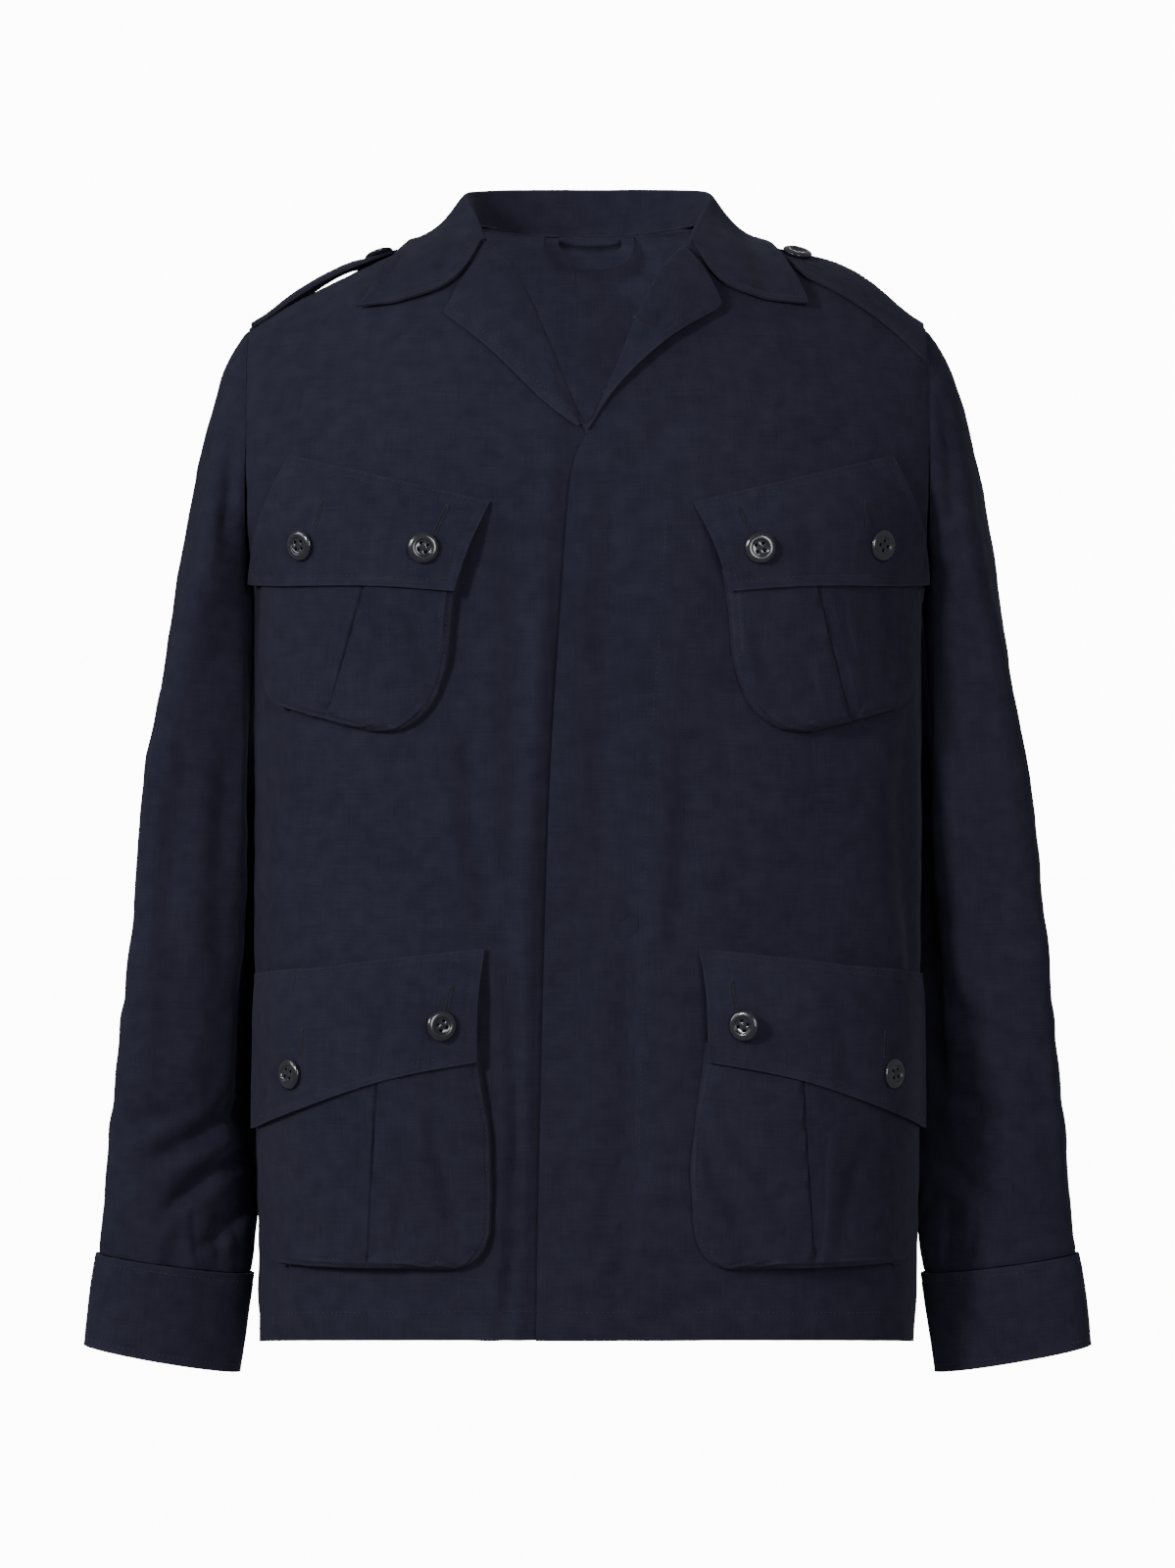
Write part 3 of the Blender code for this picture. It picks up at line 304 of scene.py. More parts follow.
# Buttonholes in the photograph's pixels, from the far end to the end under the button. In metres: pitch,
# start and end of the thread bars on both lips, and place, pitch and half length of those across the far end.
PROBES, LEAST_PROBES, LEAST_BARS, END_BARS = 13, 3, 6, 4
BAR_PITCH, BAR_START, BAR_END, BAR_HIGH = 0.0007, 0.0002, 0.0017, 0.7
END_START, END_PITCH, END_HALF, END_HIGH = 0.0003, 0.0005, 0.0019, 0.8
HOLE_THREAD = 1.2  # in breadths of the sewing thread
Slit = namedtuple("Slit", "piece x0 y0 x1 y1")
BUTTONHOLES = (
    Slit("chest_flap_right", 328, 514, 320, 540),
    Slit("chest_flap_right", 456, 518, 444, 543),
    Slit("chest_flap_left", 755, 521, 766, 545),
    Slit("chest_flap_left", 884, 515, 887, 541),
    Slit("hip_flap_right", 308, 1053, 307, 1082),
    Slit("hip_flap_right", 460, 1009, 455, 1034),
    Slit("hip_flap_left", 747, 1004, 750, 1029),
    Slit("hip_flap_left", 904, 1056, 903, 1080),
    Slit("lapel_left", 650, 323, 668, 333),
    Slit("epaulette_left", 822, 268, 839, 275),
)
# How far each button is turned on its thread, in degrees.
BUTTONS = {
    "chest_button_inner_left": 12, "chest_button_inner_right": -20,
    "chest_button_outer_left": 35, "chest_button_outer_right": 5,
    "hip_button_inner_left": -30, "hip_button_inner_right": 28,
    "hip_button_outer_left": 8, "hip_button_outer_right": -14,
    "epaulette_button_left": 20, "epaulette_button_right": -35,
}
# A button's height, its foot's radius, the steps from the rim inwards (in, up), its rounding, and the holes'
# radius, distance off the middle and cut, in mm. Its threads in metres: breadth, and how far each of a pair
# lies beside the line from hole to hole.
BUTTON_HEIGHT, BUTTON_FOOT = 1.9, 8.8
BUTTON_STEPS = ((0.6, 0.7), (0.9, 0.5), (1.2, 0.25), (1.6, -0.05), (0.4, -0.8), (0.5, -0.15))
BUTTON_ROUNDING = 0.2
HOLE_RADIUS, HOLE_SPREAD, HOLE_DEPTH = 1.1, 2.2, 12
THREAD_HEIGHT = 2.1  # mm above the foot
BUTTON_THREAD, THREAD_OFF = 0.0009, 0.0004

# Size, place and aim of the studio's soft lights, in metres.
MIDDLE = (0, 0, -0.36)
LIGHTS = {
    "key": ((0.5, 0.7), (-2.2, -2.7, 0.8), MIDDLE),
    "fill": ((1.2, 1.6), (0.9, -3.4, 0.2), MIDDLE),
    "side": ((1.2, 1.6), (-3.0, -1.2, 0.9), MIDDLE),
    "inner": ((0.24, 0.10), (0, -0.02, -0.30), (0, 0.09, -0.05)),
    "back": ((2.4, 2.0), (0.4, 3.6, 0.5), MIDDLE),
}
FLOOR_RADIUS, FLOOR_SIDES = 60, 96
FLOOR_GLOW = 0.95  # as a share of the backdrop's


class ClothSettings(bpy.types.PropertyGroup):
    colour: FloatVectorProperty(
        name="Colour", description="Navy of the yarn", subtype="COLOR", size=3,
        min=0, max=1, default=(0.0178, 0.0173, 0.0310))
    slub_colour: FloatVectorProperty(
        name="Slub colour", description="Paler navy of the thicker yarns", subtype="COLOR", size=3,
        min=0, max=1, default=(0.0291, 0.0285, 0.0465))
    yarn: FloatProperty(
        name="Yarn pitch", description="Distance between neighbouring yarns",
        default=0.00062, min=0.0002, max=0.003, unit="LENGTH")
    crease: FloatProperty(
        name="Crease strength", description="Multiplies the depth of every crease",
        default=1.9, min=0, max=3, subtype="FACTOR")
    uneven: FloatProperty(
        name="Unevenness", description="How far the cloth lies off its smooth form",
        default=0.0007, min=0, max=0.003, unit="LENGTH")


class SewingSettings(bpy.types.PropertyGroup):
    stitch: FloatProperty(
        name="Stitch", description="Length of a stitch that shows",
        default=0.0024, min=0.001, max=0.01, unit="LENGTH")
    gap: FloatProperty(
        name="Gap", description="Distance between two stitches of a row",
        default=0.0009, min=0.0002, max=0.01, unit="LENGTH")
    thread: FloatProperty(
        name="Thread", description="Breadth of the sewing thread",
        default=0.00055, min=0.0002, max=0.002, unit="LENGTH")
    colour: FloatVectorProperty(
        name="Colour", description="Colour of the sewing thread", subtype="COLOR", size=3,
        min=0, max=1, default=(0.0167, 0.0165, 0.0277))


class ButtonSettings(bpy.types.PropertyGroup):
    radius: FloatProperty(
        name="Radius", description="Radius of a button", default=0.0098, min=0.005, max=0.02,
        unit="LENGTH")
    colour: FloatVectorProperty(
        name="Colour", description="Colour of the buttons", subtype="COLOR", size=3,
        min=0, max=1, default=(0.0075, 0.0080, 0.0125))


class StudioSettings(bpy.types.PropertyGroup):
    floor_drop: FloatProperty(
        name="Floor", description="Drop of the floor below the nape", default=1.45, min=0.8, max=3,
        unit="LENGTH")
    ambient: FloatProperty(
        name="Ambient", description="Strength of the even white surround", default=0.24, min=0, max=5)
    backdrop: FloatProperty(
        name="Backdrop", description="Brightness of the surround and the floor as seen", default=13.0,
        min=0, max=40)
    key: FloatProperty(
        name="Key light", description="Power of the soft light on the photograph's left", default=72,
        min=0, max=2000, unit="POWER")
    fill: FloatProperty(
        name="Fill light", description="Power of the soft light on the photograph's right", default=44,
        min=0, max=2000, unit="POWER")
    side: FloatProperty(
        name="Side light", description="Power of the soft light far out on the left", default=24,
        min=0, max=2000, unit="POWER")
    inner: FloatProperty(
        name="Inner light", description="Power of the small light inside the neck", default=0.85, min=0,
        max=20, unit="POWER")
    back: FloatProperty(
        name="Back light", description="Power of the soft light behind", default=95, min=0, max=2000,
        unit="POWER")


# Materials
class Shade:
    """A socket of a node tree. Arithmetic on it adds Math nodes."""

    def __init__(self, tree, socket):
        self.tree, self.socket = tree, socket

    def node(self, kind, settings=(), values=(), output=0):
        """Adds a node: its settings first, then the values or links of its sockets."""
        made = self.tree.nodes.new(kind)
        for name, value in dict(settings).items():
            setattr(made, name, value)
        for name, value in dict(values).items():
            if isinstance(value, Shade):
                self.tree.links.new(value.socket, made.inputs[name])
            else:
                made.inputs[name].default_value = value
        return Shade(self.tree, made.outputs[output])

    def maths(self, operation, first, second=0.0):
        return self.node("ShaderNodeMath", {"operation": operation}, {0: first, 1: second})

    def sine(self):
        return self.maths("SINE", self)

    def __add__(self, other):
        return self.maths("ADD", self, other)

    def __sub__(self, other):
        return self.maths("SUBTRACT", self, other)

    def __mul__(self, other):
        return self.maths("MULTIPLY", self, other)

    __radd__ = __add__

    def blend(self, first, second):
        """A colour between two, by this value."""
        return self.node("ShaderNodeMix", {"data_type": "RGBA"},
                         {0: self, 6: (*first, 1), 7: (*second, 1)}, 2)

    def noise(self, scale, detail, stretch=(1, 1, 1)):
        """Noise at a place in space that this socket gives."""
        spread = self.node("ShaderNodeMapping", {}, {"Vector": self, "Scale": stretch})
        return self.node("ShaderNodeTexNoise", {},
                         {"Vector": spread, "Scale": scale, "Detail": detail})

    def bump(self, strength, distance):
        """A normal tilted by this height."""
        return self.node("ShaderNodeBump", {},
                         {"Strength": strength, "Distance": distance, "Height": self})


def begin_material(name, **constants):
    """A new material with a Principled shader; what is the same all over is set on its sockets."""
    material = bpy.data.materials.new(name)
    material.use_nodes = True
    tree = material.node_tree
    shader = tree.nodes["Principled BSDF"]
    for socket, value in constants.items():
        shader.inputs[socket.replace("_", " ")].default_value = value
    return material, tree, shader


def place_in(tree, kind):
    """Coordinates of the surface: its flat pattern (UV) or its place (Object)."""
    start = tree.nodes.new("ShaderNodeTexCoord")
    return Shade(tree, start.outputs[kind])


def link_shader(shader, **values):
    """Links what changes over the surface to a shader's sockets."""
    for socket, value in values.items():
        value.tree.links.new(value.socket, shader.inputs[socket.replace("_", " ")])


def cloth_material():
    """Matt plain-woven navy cotton with slubs, and painted highlights along edges and rows of stitches."""
    cloth = bpy.context.scene.jacket_cloth
    material, tree, shader = begin_material(
        "navy cloth", Metallic=0.0, Specular_IOR_Level=0.0, Sheen_Weight=0.10,
        Sheen_Roughness=0.45, Sheen_Tint=(0.50, 0.52, 0.64, 1))
    flat = place_in(tree, "UV")
    parts = flat.node("ShaderNodeSeparateXYZ", {}, {0: flat})
    across, along = parts, Shade(tree, parts.socket.node.outputs[1])
    turn = 2 * math.pi / cloth.yarn
    weave = (across * turn).sine() * (along * turn).sine()
    weft = flat.noise(1.0, 3.0, (34, 1500, 1))
    warp = flat.noise(1.0, 3.0, (1500, 30, 1))
    cloud, blotch = flat.noise(9.0, 3.0), flat.noise(85.0, 3.0)
    # The edge attribute is painted highlight: it makes the colour paler beside rows and along edges.
    edge = flat.node("ShaderNodeAttribute", {"attribute_name": "edge"}, {}, 2)
    slub = (weft + warp) * 0.5
    mottle = (cloud - 0.5) * 0.8 + (blotch - 0.5) * 1.2
    tone = (slub - 0.5) * 1.6 + mottle + 0.42 + edge * 0.5
    share = tone.maths("MINIMUM", tone.maths("MAXIMUM", tone, 0.0), 1.0)
    link_shader(shader, Base_Color=share.blend(cloth.colour, cloth.slub_colour),
                Roughness=0.74 + cloud * 0.16, Normal=(weave * 0.35 + slub * 1.3).bump(0.32, 0.0006))
    return material


def thread_material():
    """Twisted sewing thread, a little shinier than the cloth."""
    dark = bpy.context.scene.jacket_sewing.colour
    material, tree, shader = begin_material(
        "sewing thread", Metallic=0.0, Specular_IOR_Level=0.2, Sheen_Weight=0.06, Sheen_Roughness=0.4)
    twist = place_in(tree, "Object").noise(2600.0, 1.0)
    link_shader(shader, Base_Color=twist.blend(dark, [1.5 * c for c in dark]),
                Roughness=0.5 + twist * 0.2, Normal=twist.bump(0.4, 0.0002))
    return material


def button_material():
    """Polished dark plastic with faint cloudy streaks."""
    dark = bpy.context.scene.jacket_button.colour
    material, tree, shader = begin_material(
        "dark button", Metallic=0.0, Specular_IOR_Level=0.65, Coat_Roughness=0.06)
    place = place_in(tree, "Object")
    streak = place.noise(160.0, 3.0, (1, 1, 3.5))
    speck = place.noise(2200.0, 1.0)
    link_shader(shader, Base_Color=streak.blend(dark, [2.3 * c for c in dark]),
                Roughness=0.13 + streak * 0.10 + speck * 0.04, Coat_Weight=0.5 + speck * 0.15,
                Normal=speck.bump(0.05, 0.0001))
    return material


def floor_material():
    """Pale studio floor, as bright as the surround."""
    glow = FLOOR_GLOW * bpy.context.scene.jacket_studio.backdrop
    material, tree, shader = begin_material(
        "pale floor", Metallic=0.0, Specular_IOR_Level=0.1, Emission_Color=(1, 1, 1, 1),
        Emission_Strength=glow)
    mottle = place_in(tree, "Object").noise(0.8, 3.0)
    link_shader(shader, Base_Color=mottle.blend((0.90, 0.90, 0.90), (0.94, 0.94, 0.94)),
                Roughness=0.8 + mottle * 0.15)
    return material


def material_named(name, make):
    return bpy.data.materials.get(name) or make()


# Cloth
Surface = namedtuple("Surface", "points normals triangles edge_points tree")
surfaces = {}
fold_points = {}
# Angles at which a solid's triangles make quads (flat, and in shape), at which a wall ends, and of a fold.
QUAD_ANGLE, QUAD_SHAPE, WALL_ANGLE, FOLD_ANGLE = (math.radians(angle) for angle in (60, 80, 68, 26))
WELD = 1e-6
FOLD_STEPS = 8
BAG_CRISP = 0.55
CLOTH_SMOOTH, BUTTON_SMOOTH, BUTTON_EDGE = (math.radians(angle) for angle in (55, 46, 34))


def take_up(piece):
    """Selects one object alone and makes it active."""
    bpy.ops.object.select_all(action="DESELECT")
    piece.select_set(True)
    bpy.context.view_layer.objects.active = piece


def add_object(name, data):
    piece = bpy.data.objects.new(name, data)
    bpy.context.scene.collection.objects.link(piece)
    return piece


def copy_of(node):
    """A loose copy of a solid's mesh."""
    piece = add_object(node + "_cloth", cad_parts[node].data.copy())
    piece.data.materials.clear()
    return piece


def smooth_walls(bm, limit):
    """Sets of faces that meet at less than an angle."""
    left = set(bm.faces)
    while left:
        first = left.pop()
        wall, waiting = [first], [first]
        while waiting:
            face = waiting.pop()
            for edge in face.edges:
                for other in edge.link_faces:
                    if other in left and face.normal.angle(other.normal, 0) < limit:
                        left.discard(other)
                        wall.append(other)
                        waiting.append(other)
        yield wall


def keep_outer_wall(piece, crisp):
    """Makes quads of a copied solid's triangles and keeps the wall that faces out, the larger one.

    Its folds stay as crisp as asked. Returns points along them.
    """
    take_up(piece)
    bpy.ops.mesh.customdata_custom_splitnormals_clear()
    bpy.ops.object.mode_set(mode="EDIT")
    bpy.ops.mesh.select_all(action="SELECT")
    bpy.ops.mesh.remove_doubles(threshold=WELD)
    bpy.ops.mesh.tris_convert_to_quads(face_threshold=QUAD_ANGLE, shape_threshold=QUAD_SHAPE)
    bm = bmesh.from_edit_mesh(piece.data)
    outer = set(max(smooth_walls(bm, WALL_ANGLE), key=lambda wall: sum(f.calc_area() for f in wall)))
    for face in bm.faces:
        face.select_set(face not in outer)
    bmesh.update_edit_mesh(piece.data)
    bpy.ops.mesh.delete(type="FACE")
    bm = bmesh.from_edit_mesh(piece.data)
    sharpness = bm.edges.layers.float.new("crease_edge")
    folds = []
    for edge in bm.edges:
        if crisp and len(edge.link_faces) == 2 and edge.calc_face_angle() > FOLD_ANGLE:
            edge[sharpness] = crisp
            start, end = (v.co.copy() for v in edge.verts)
            folds += [start.lerp(end, k / FOLD_STEPS) for k in range(FOLD_STEPS + 1)]
    bmesh.update_edit_mesh(piece.data)
    bpy.ops.object.mode_set(mode="OBJECT")
    return folds


def cut_open(piece):
    """Marks a seam down a tube, on the side towards the body, so that it can be laid flat."""
    bpy.ops.mesh.select_mode(type="VERT")
    bm = bmesh.from_edit_mesh(piece.data)
    ends = [v for v in bm.verts if v.is_boundary]
    middle = sum(v.co.z for v in ends) / len(ends)
    low = min((v for v in ends if v.co.z < middle), key=lambda v: abs(v.co.x))
    high = min((v for v in ends if v.co.z > middle), key=lambda v: (v.co - low.co).length)
    for vert in bm.verts:
        vert.select_set(vert in (low, high))
    bm.select_flush(False)
    bmesh.update_edit_mesh(piece.data)
    bpy.ops.mesh.shortest_path_select(edge_mode="SELECT")
    bpy.ops.mesh.mark_seam()


def lay_flat(piece, tube):
    """Gives the piece UVs that are its flat pattern in metres, V up the piece; returns its size."""
    take_up(piece)
    bpy.ops.object.mode_set(mode="EDIT")
    if tube:
        cut_open(piece)
    bpy.ops.mesh.select_all(action="SELECT")
    bpy.ops.uv.unwrap(method="ANGLE_BASED", margin=0.0)
    bpy.ops.object.mode_set(mode="OBJECT")
    mesh = piece.data
    layer = mesh.uv_layers.active
    flat = read_array(layer.uv, "vector", 2)
    area = 0.0
    for face in mesh.polygons:
        ring = flat[face.loop_start:face.loop_start + face.loop_total]
        after = np.roll(ring, -1, 0)
        area += abs(np.sum(ring[:, 0] * after[:, 1] - after[:, 0] * ring[:, 1])) / 2
    real = sum(face.area for face in mesh.polygons)
    flat = (flat - flat.mean(0)) * math.sqrt(real / area)
    height = np.array([mesh.vertices[loop.vertex_index].co.z for loop in mesh.loops])
    lean = np.linalg.lstsq(flat, height - height.mean(), rcond=None)[0]
    up = lean / np.linalg.norm(lean)
    flat = np.stack((flat @ (up[1], -up[0]), flat @ up), 1)
    layer.uv.foreach_set("vector", flat.ravel())
    size = flat.max(0) - flat.min(0)
    return float(size[0]), float(size[1]), real


def apply_modifier(piece, name, kind, **settings):
    modifier = piece.modifiers.new(name, kind)
    for setting, value in settings.items():
        setattr(modifier, setting, value)
    take_up(piece)
    bpy.ops.object.modifier_apply(modifier=modifier.name)


def to_photo(points):
    """Where places show in the photograph, in its pixels."""
    depth = CAMERA_DISTANCE + points[:, 1]
    return np.stack((IMAGE_WIDTH / 2 + FOCAL_PIXELS * points[:, 0] / depth,
                     IMAGE_HEIGHT / 2 - FOCAL_PIXELS * (points[:, 2] - CAMERA_HEIGHT) / depth), 1)


def ease(t):
    """A smooth rise from zero to one."""
    t = np.clip(t, 0, 1)
    return t * t * (3 - 2 * t)


def between(values, start, rise, end, fall):
    """One between two places, with a smooth rise and fall inside them."""
    return ease((values - start) / rise) * ease((end - values) / fall)


def bell(off, breadth):
    return np.exp(-(off / breadth) ** 2)


def facing(part, limits):
    """How far cloth counts as facing a side, by that part of its normal."""
    return ease((part - limits[0]) / limits[1])


def beside_line(view, x0, y0, x1, y1):
    """Places told by a line in the same view: off it, along it, and how long it is."""
    length = math.hypot(x1 - x0, y1 - y0)
    way = np.array((x1 - x0, y1 - y0)) / length
    return (view - (x0, y0)) @ (-way[1], way[0]), (view - (x0, y0)) @ way, length


def crease_rise(node, places, table, scale=1.0):
    """Rise in mm that a table's creases give to places seen from its side."""
    total = np.zeros(len(places))
    lines = [line for pieces, lines in table.items() if node in pieces.split() for line in lines]
    for *ends, breadth, depth, bow in lines:
        off, along, length = beside_line(places * scale, *np.multiply(ends, scale))
        t = along / length
        near = (off - 4 * bow * t * (1 - t)) / breadth
        fade = between(t, -CREASE_OVERRUN, CREASE_FADE, 1 + CREASE_OVERRUN, CREASE_FADE)
        total += depth * fade * (bell(near, 1) - RIDGE * bell(near - RIDGE_OFF, RIDGE_BREADTH))
    return total


def unevenness(points, wave, seed):
    """Smooth noise of about unit height, the same at the same place on every piece."""
    random = np.random.default_rng(seed)
    total = np.zeros(len(points))
    for _ in range(9):
        way = random.normal(size=3)
        way *= 2 * math.pi / (wave * random.uniform(0.7, 1.5)) / np.linalg.norm(way)
        total += np.sin(points @ way + random.uniform(0, 2 * math.pi))
    return total / 3


def read_array(items, name, width, kind=float):
    """One property of all of a mesh's items, as an array."""
    values = np.empty(width * len(items), kind)
    items.foreach_get(name, values)
    return values.reshape(-1, width)


def mesh_arrays(mesh):
    """Points and their normals, triangles, and points along the open edges."""
    points, normals = read_array(mesh.vertices, "co", 3), read_array(mesh.vertices, "normal", 3)
    mesh.calc_loop_triangles()
    triangles = read_array(mesh.loop_triangles, "vertices", 3, np.int64)
    edges = read_array(mesh.edges, "vertices", 2, np.int64)
    used = read_array(mesh.loops, "edge_index", 1, np.int64).ravel()
    rim = edges[np.bincount(used, minlength=len(edges)) == 1]
    edge_points = np.concatenate([points[rim[:, 0]] * (1 - s) + points[rim[:, 1]] * s for s in (0, 0.5)])
    return points, normals, triangles, edge_points


def move_points(piece, points):
    piece.data.vertices.foreach_set("co", points.ravel())
    piece.data.update()


def distance_to(points, targets):
    """Distance of each point from the nearest of the targets."""
    tree = KDTree(len(targets))
    for k, target in enumerate(targets):
        tree.insert(target, k)
    tree.balance()
    return np.array([tree.find(point)[2] for point in points])


def row_distance(node, row, points, edge_points):
    """Distance in mm of points from the edge or the fold that a row of stitches follows."""
    if row.edge == "fold":
        return distance_to(points, fold_points[node]) / MM
    chosen = edge_points[EDGES[row.edge](edge_points)]
    if row.edge == "fly":
        top, low = chosen[chosen[:, 2].argmax()], chosen[chosen[:, 2].argmin()]
        chosen = np.concatenate((chosen, top + np.linspace(0, FLY_ON, FLY_STEPS)[:, None] * (top - low)))
    return distance_to(points, chosen) / MM


def beside_pleat(node, points):
    """Places told by a bag's pleat, in mm: off its line, along it, and how long the line is."""
    off, along, length = beside_line(to_photo(points), *PLEATS[node])
    return off * MM_PER_PIXEL, along * MM_PER_PIXEL, length * MM_PER_PIXEL


def close_pleat(node, points):
    """Brings the two sides of a bag's pleat together, level with the face beside them."""
    off, along, reach = beside_pleat(node, points)
    far, foot = np.abs(off), reach + PLEAT_BELOW
    terms = np.stack([(off / PLEAT_UNIT) ** i * (along / reach) ** j
                      for i in range(3) for j in range(5)], 1)
    inside = (along > -PLEAT_ABOVE) & (along < foot)
    beside = inside & (far > PLEAT_BESIDE[0]) & (far < PLEAT_BESIDE[1])
    fit = np.linalg.lstsq(terms[beside], points[beside, 1], rcond=None)[0]
    blend = np.where(inside, ease((PLEAT_LEVEL - far) / PLEAT_LEVEL_FADE), 0)
    blend = blend * ease((foot - along) / PLEAT_FOOT_FADE)
    level = points.copy()
    level[:, 1] += blend * np.minimum(terms @ fit - points[:, 1], 0)
    drawn = np.sign(off) * PLEAT_SIDES * (far / PLEAT_SIDES) ** PLEAT_DRAW
    draw = np.where(inside & (far < PLEAT_SIDES), drawn - off, 0) * MM
    x0, y0, x1, y1 = PLEATS[node]
    lean = math.atan2(x1 - x0, y1 - y0)
    level[:, 0] -= draw * math.cos(lean)
    level[:, 2] -= draw * math.sin(lean)
    return level


def pleat_rise(node, points):
    """Depth in mm of the closed pleat's line."""
    off, along, reach = beside_pleat(node, points)
    runs = ease((reach + PLEAT_BELOW - along) / PLEAT_LINE_FADE) * (along > -PLEAT_ABOVE)
    return -PLEAT_DEPTH * runs * bell(off, PLEAT_LINE)


def shape_cloth(piece, node):
    """Moves the cloth off its smooth form: creases, an uneven hand, sewn edges and stitched rows."""
    cloth = bpy.context.scene.jacket_cloth
    points, normals, _, edge_points = mesh_arrays(piece.data)
    if node in PLEATS:
        move_points(piece, close_pleat(node, points))
        points, normals, _, edge_points = mesh_arrays(piece.data)
    x, y, z = (points / MM).T
    ahead, behind = facing(-normals[:, 1], FACING_FLAT), facing(normals[:, 1], FACING_FLAT)
    aside, aslant = facing(np.abs(normals[:, 0]), FACING_SIDE), np.stack((y, -z), 1)
    rise = ahead * crease_rise(node, to_photo(points), FRONT_CREASES, MM_PER_PIXEL)
    rise += behind * crease_rise(node, np.stack((x, -z), 1), BACK_CREASES)
    rise += aside * crease_rise(node, aslant, SIDE_CREASES)
    if node.startswith("sleeve"):
        inward = facing(-normals[:, 0] * np.sign(x), FACING_IN)
        rise *= 1 - INNER_CALM * inward * (1 - ahead)
        rise += inward * crease_rise(node, aslant, INNER_CREASES)
    rise *= cloth.crease
    if node in PLEATS:
        rise += ahead * pleat_rise(node, points)
    uneven = cloth.uneven / MM * (1.0 if node in SEWN else SMALL_CALM)
    rise += uneven * sum(share * unevenness(points, wave, seed) for share, wave, seed in HAND)
    # Painted highlights: the cloth's colour is made paler beside rows of stitches and along edges near a row.
    edge = np.zeros(len(points))
    pucker = unevenness(points, PUCKER_WAVE, PUCKER_SEED)
    if node in SEWN:
        off = distance_to(points, edge_points[EDGES[SEWN[node]](edge_points)]) / MM
        rise *= ease(off / SEAM_FADE) * (1 - SEAM_LEFT) + SEAM_LEFT
        rise += SEAM_PUCKER * pucker * bell(off, SEAM_PUCKER_BREADTH) - SEAM_DIP * bell(off, SEAM_BREADTH)
    for row in [row for row in ROWS if node in row.pieces.split()]:
        off = row_distance(node, row, points, edge_points)
        runs = ease((z - row.low) / ROW_FADE + 1) * ease((row.high - z) / ROW_FADE + 1)
        rise += runs * (ROW_PUCKER * pucker * bell(off - row.inset, ROW_PUCKER_BREADTH)
                        - ROW_DIP * bell(off - row.inset, ROW_BREADTH))
        beside = bell(off - row.inset + ROW_HIGHLIGHT_OFF, ROW_HIGHLIGHT_BREADTH)
        edge = np.maximum(edge, runs * ROW_HIGHLIGHT * beside)
        if row.inset < NEAR_EDGE:
            edge = np.maximum(edge, EDGE_HIGHLIGHT * bell(off, EDGE_HIGHLIGHT_BREADTH))
    # Stores the painted highlights as the edge attribute, which the cloth's colour reads.
    layer = piece.data.attributes.new("edge", "FLOAT", "POINT")
    layer.data.foreach_set("value", edge.astype(np.float32))
    move_points(piece, points + normals * (rise * MM)[:, None])


def fill_sleeve(piece, node):
    """Fills out a sleeve's inner front, towards the body, and draws its front edge back a little."""
    points, normals, _, _ = mesh_arrays(piece.data)
    side = math.copysign(1, points[:, 0].mean())
    x, y, z = (points / MM).T
    down = between(-z, *FILL_DROP)
    inner = facing(-normals[:, 0] * side, FACING_FILL)
    fill = SLEEVE_FILL[node] * down * inner * between(y, *FILL_BACK)
    points[:, 0] -= side * np.minimum(fill, np.maximum(x * side - BODY_SIDE[node], 0)) * MM
    points[:, 1] += SLEEVE_SLACK * down * np.maximum(SLACK_AHEAD - y, 0) * MM
    move_points(piece, points)


def lower_neck(piece):
    """Lowers the place where the open neck ends."""
    points = mesh_arrays(piece.data)[0]
    x, _, z = (points / MM).T
    share = ease((NECK_ACROSS - np.abs(x)) / NECK_FADE) * between(-z, *NECK_DROP)
    points[:, 2] -= NECK_LOWERED * share * MM
    move_points(piece, points)


def narrow_lapel(piece):
    """Narrows a lapel towards the end of the opening, along the surface that it has."""
    points, normals, triangles, _ = mesh_arrays(piece.data)
    tree = BVHTree.FromPolygons(points.tolist(), triangles.tolist())
    off, along, length = beside_line(to_photo(points), *FOLD_FOOT, *FOLD_HEAD)
    share = np.clip(SHARE_START + SHARE_PER_PIXEL * along, FOOT_SHARE, 1)
    step = (share - 1) * np.maximum(off, 0) * (normals[:, 1] < LAPEL_FACING) * MM_PER_PIXEL * MM
    points[:, 0] += step * ((FOLD_FOOT[1] - FOLD_HEAD[1]) / length)
    points[:, 2] -= step * ((FOLD_HEAD[0] - FOLD_FOOT[0]) / length)
    for k in np.flatnonzero(step < -LEAST_STEP * MM):
        hit = tree.ray_cast(points[k] - (0, RAY_AHEAD, 0), (0, 1, 0))[0]
        if hit is not None:
            points[k, 1] = hit.y
    move_points(piece, points)


def tuck_collar(piece):
    """Draws the collar's neck edge in to the seam, round the back of the neck."""
    points, _, _, edge_points = mesh_arrays(piece.data)
    off = distance_to(points, edge_points[EDGES["neck"](edge_points)]) / MM
    share = ease(1 - off / TUCK_REACH) * ease((points[:, 1] / MM - TUCK_START) / TUCK_RISE)
    inward = -points[:, :2] / np.linalg.norm(points[:, :2], axis=1)[:, None]
    points[:, :2] += TUCK * share[:, None] * inward * MM
    points[:, 2] -= TUCK_DROP * share * MM
    move_points(piece, points)


def lift_strap(piece):
    """Lifts the back edge of a strap, so that light shows between it and the shoulder."""
    points = mesh_arrays(piece.data)[0]
    x, y, _ = (points / MM).T
    share = ease((STRAP_HALF - np.abs(x - STRAP_MIDDLE)) / STRAP_FADE)
    points[:, 2] += STRAP_LIFT * (share * np.clip((y - STRAP_FRONT) / STRAP_BREADTH, 0, 1)) * MM
    move_points(piece, points)


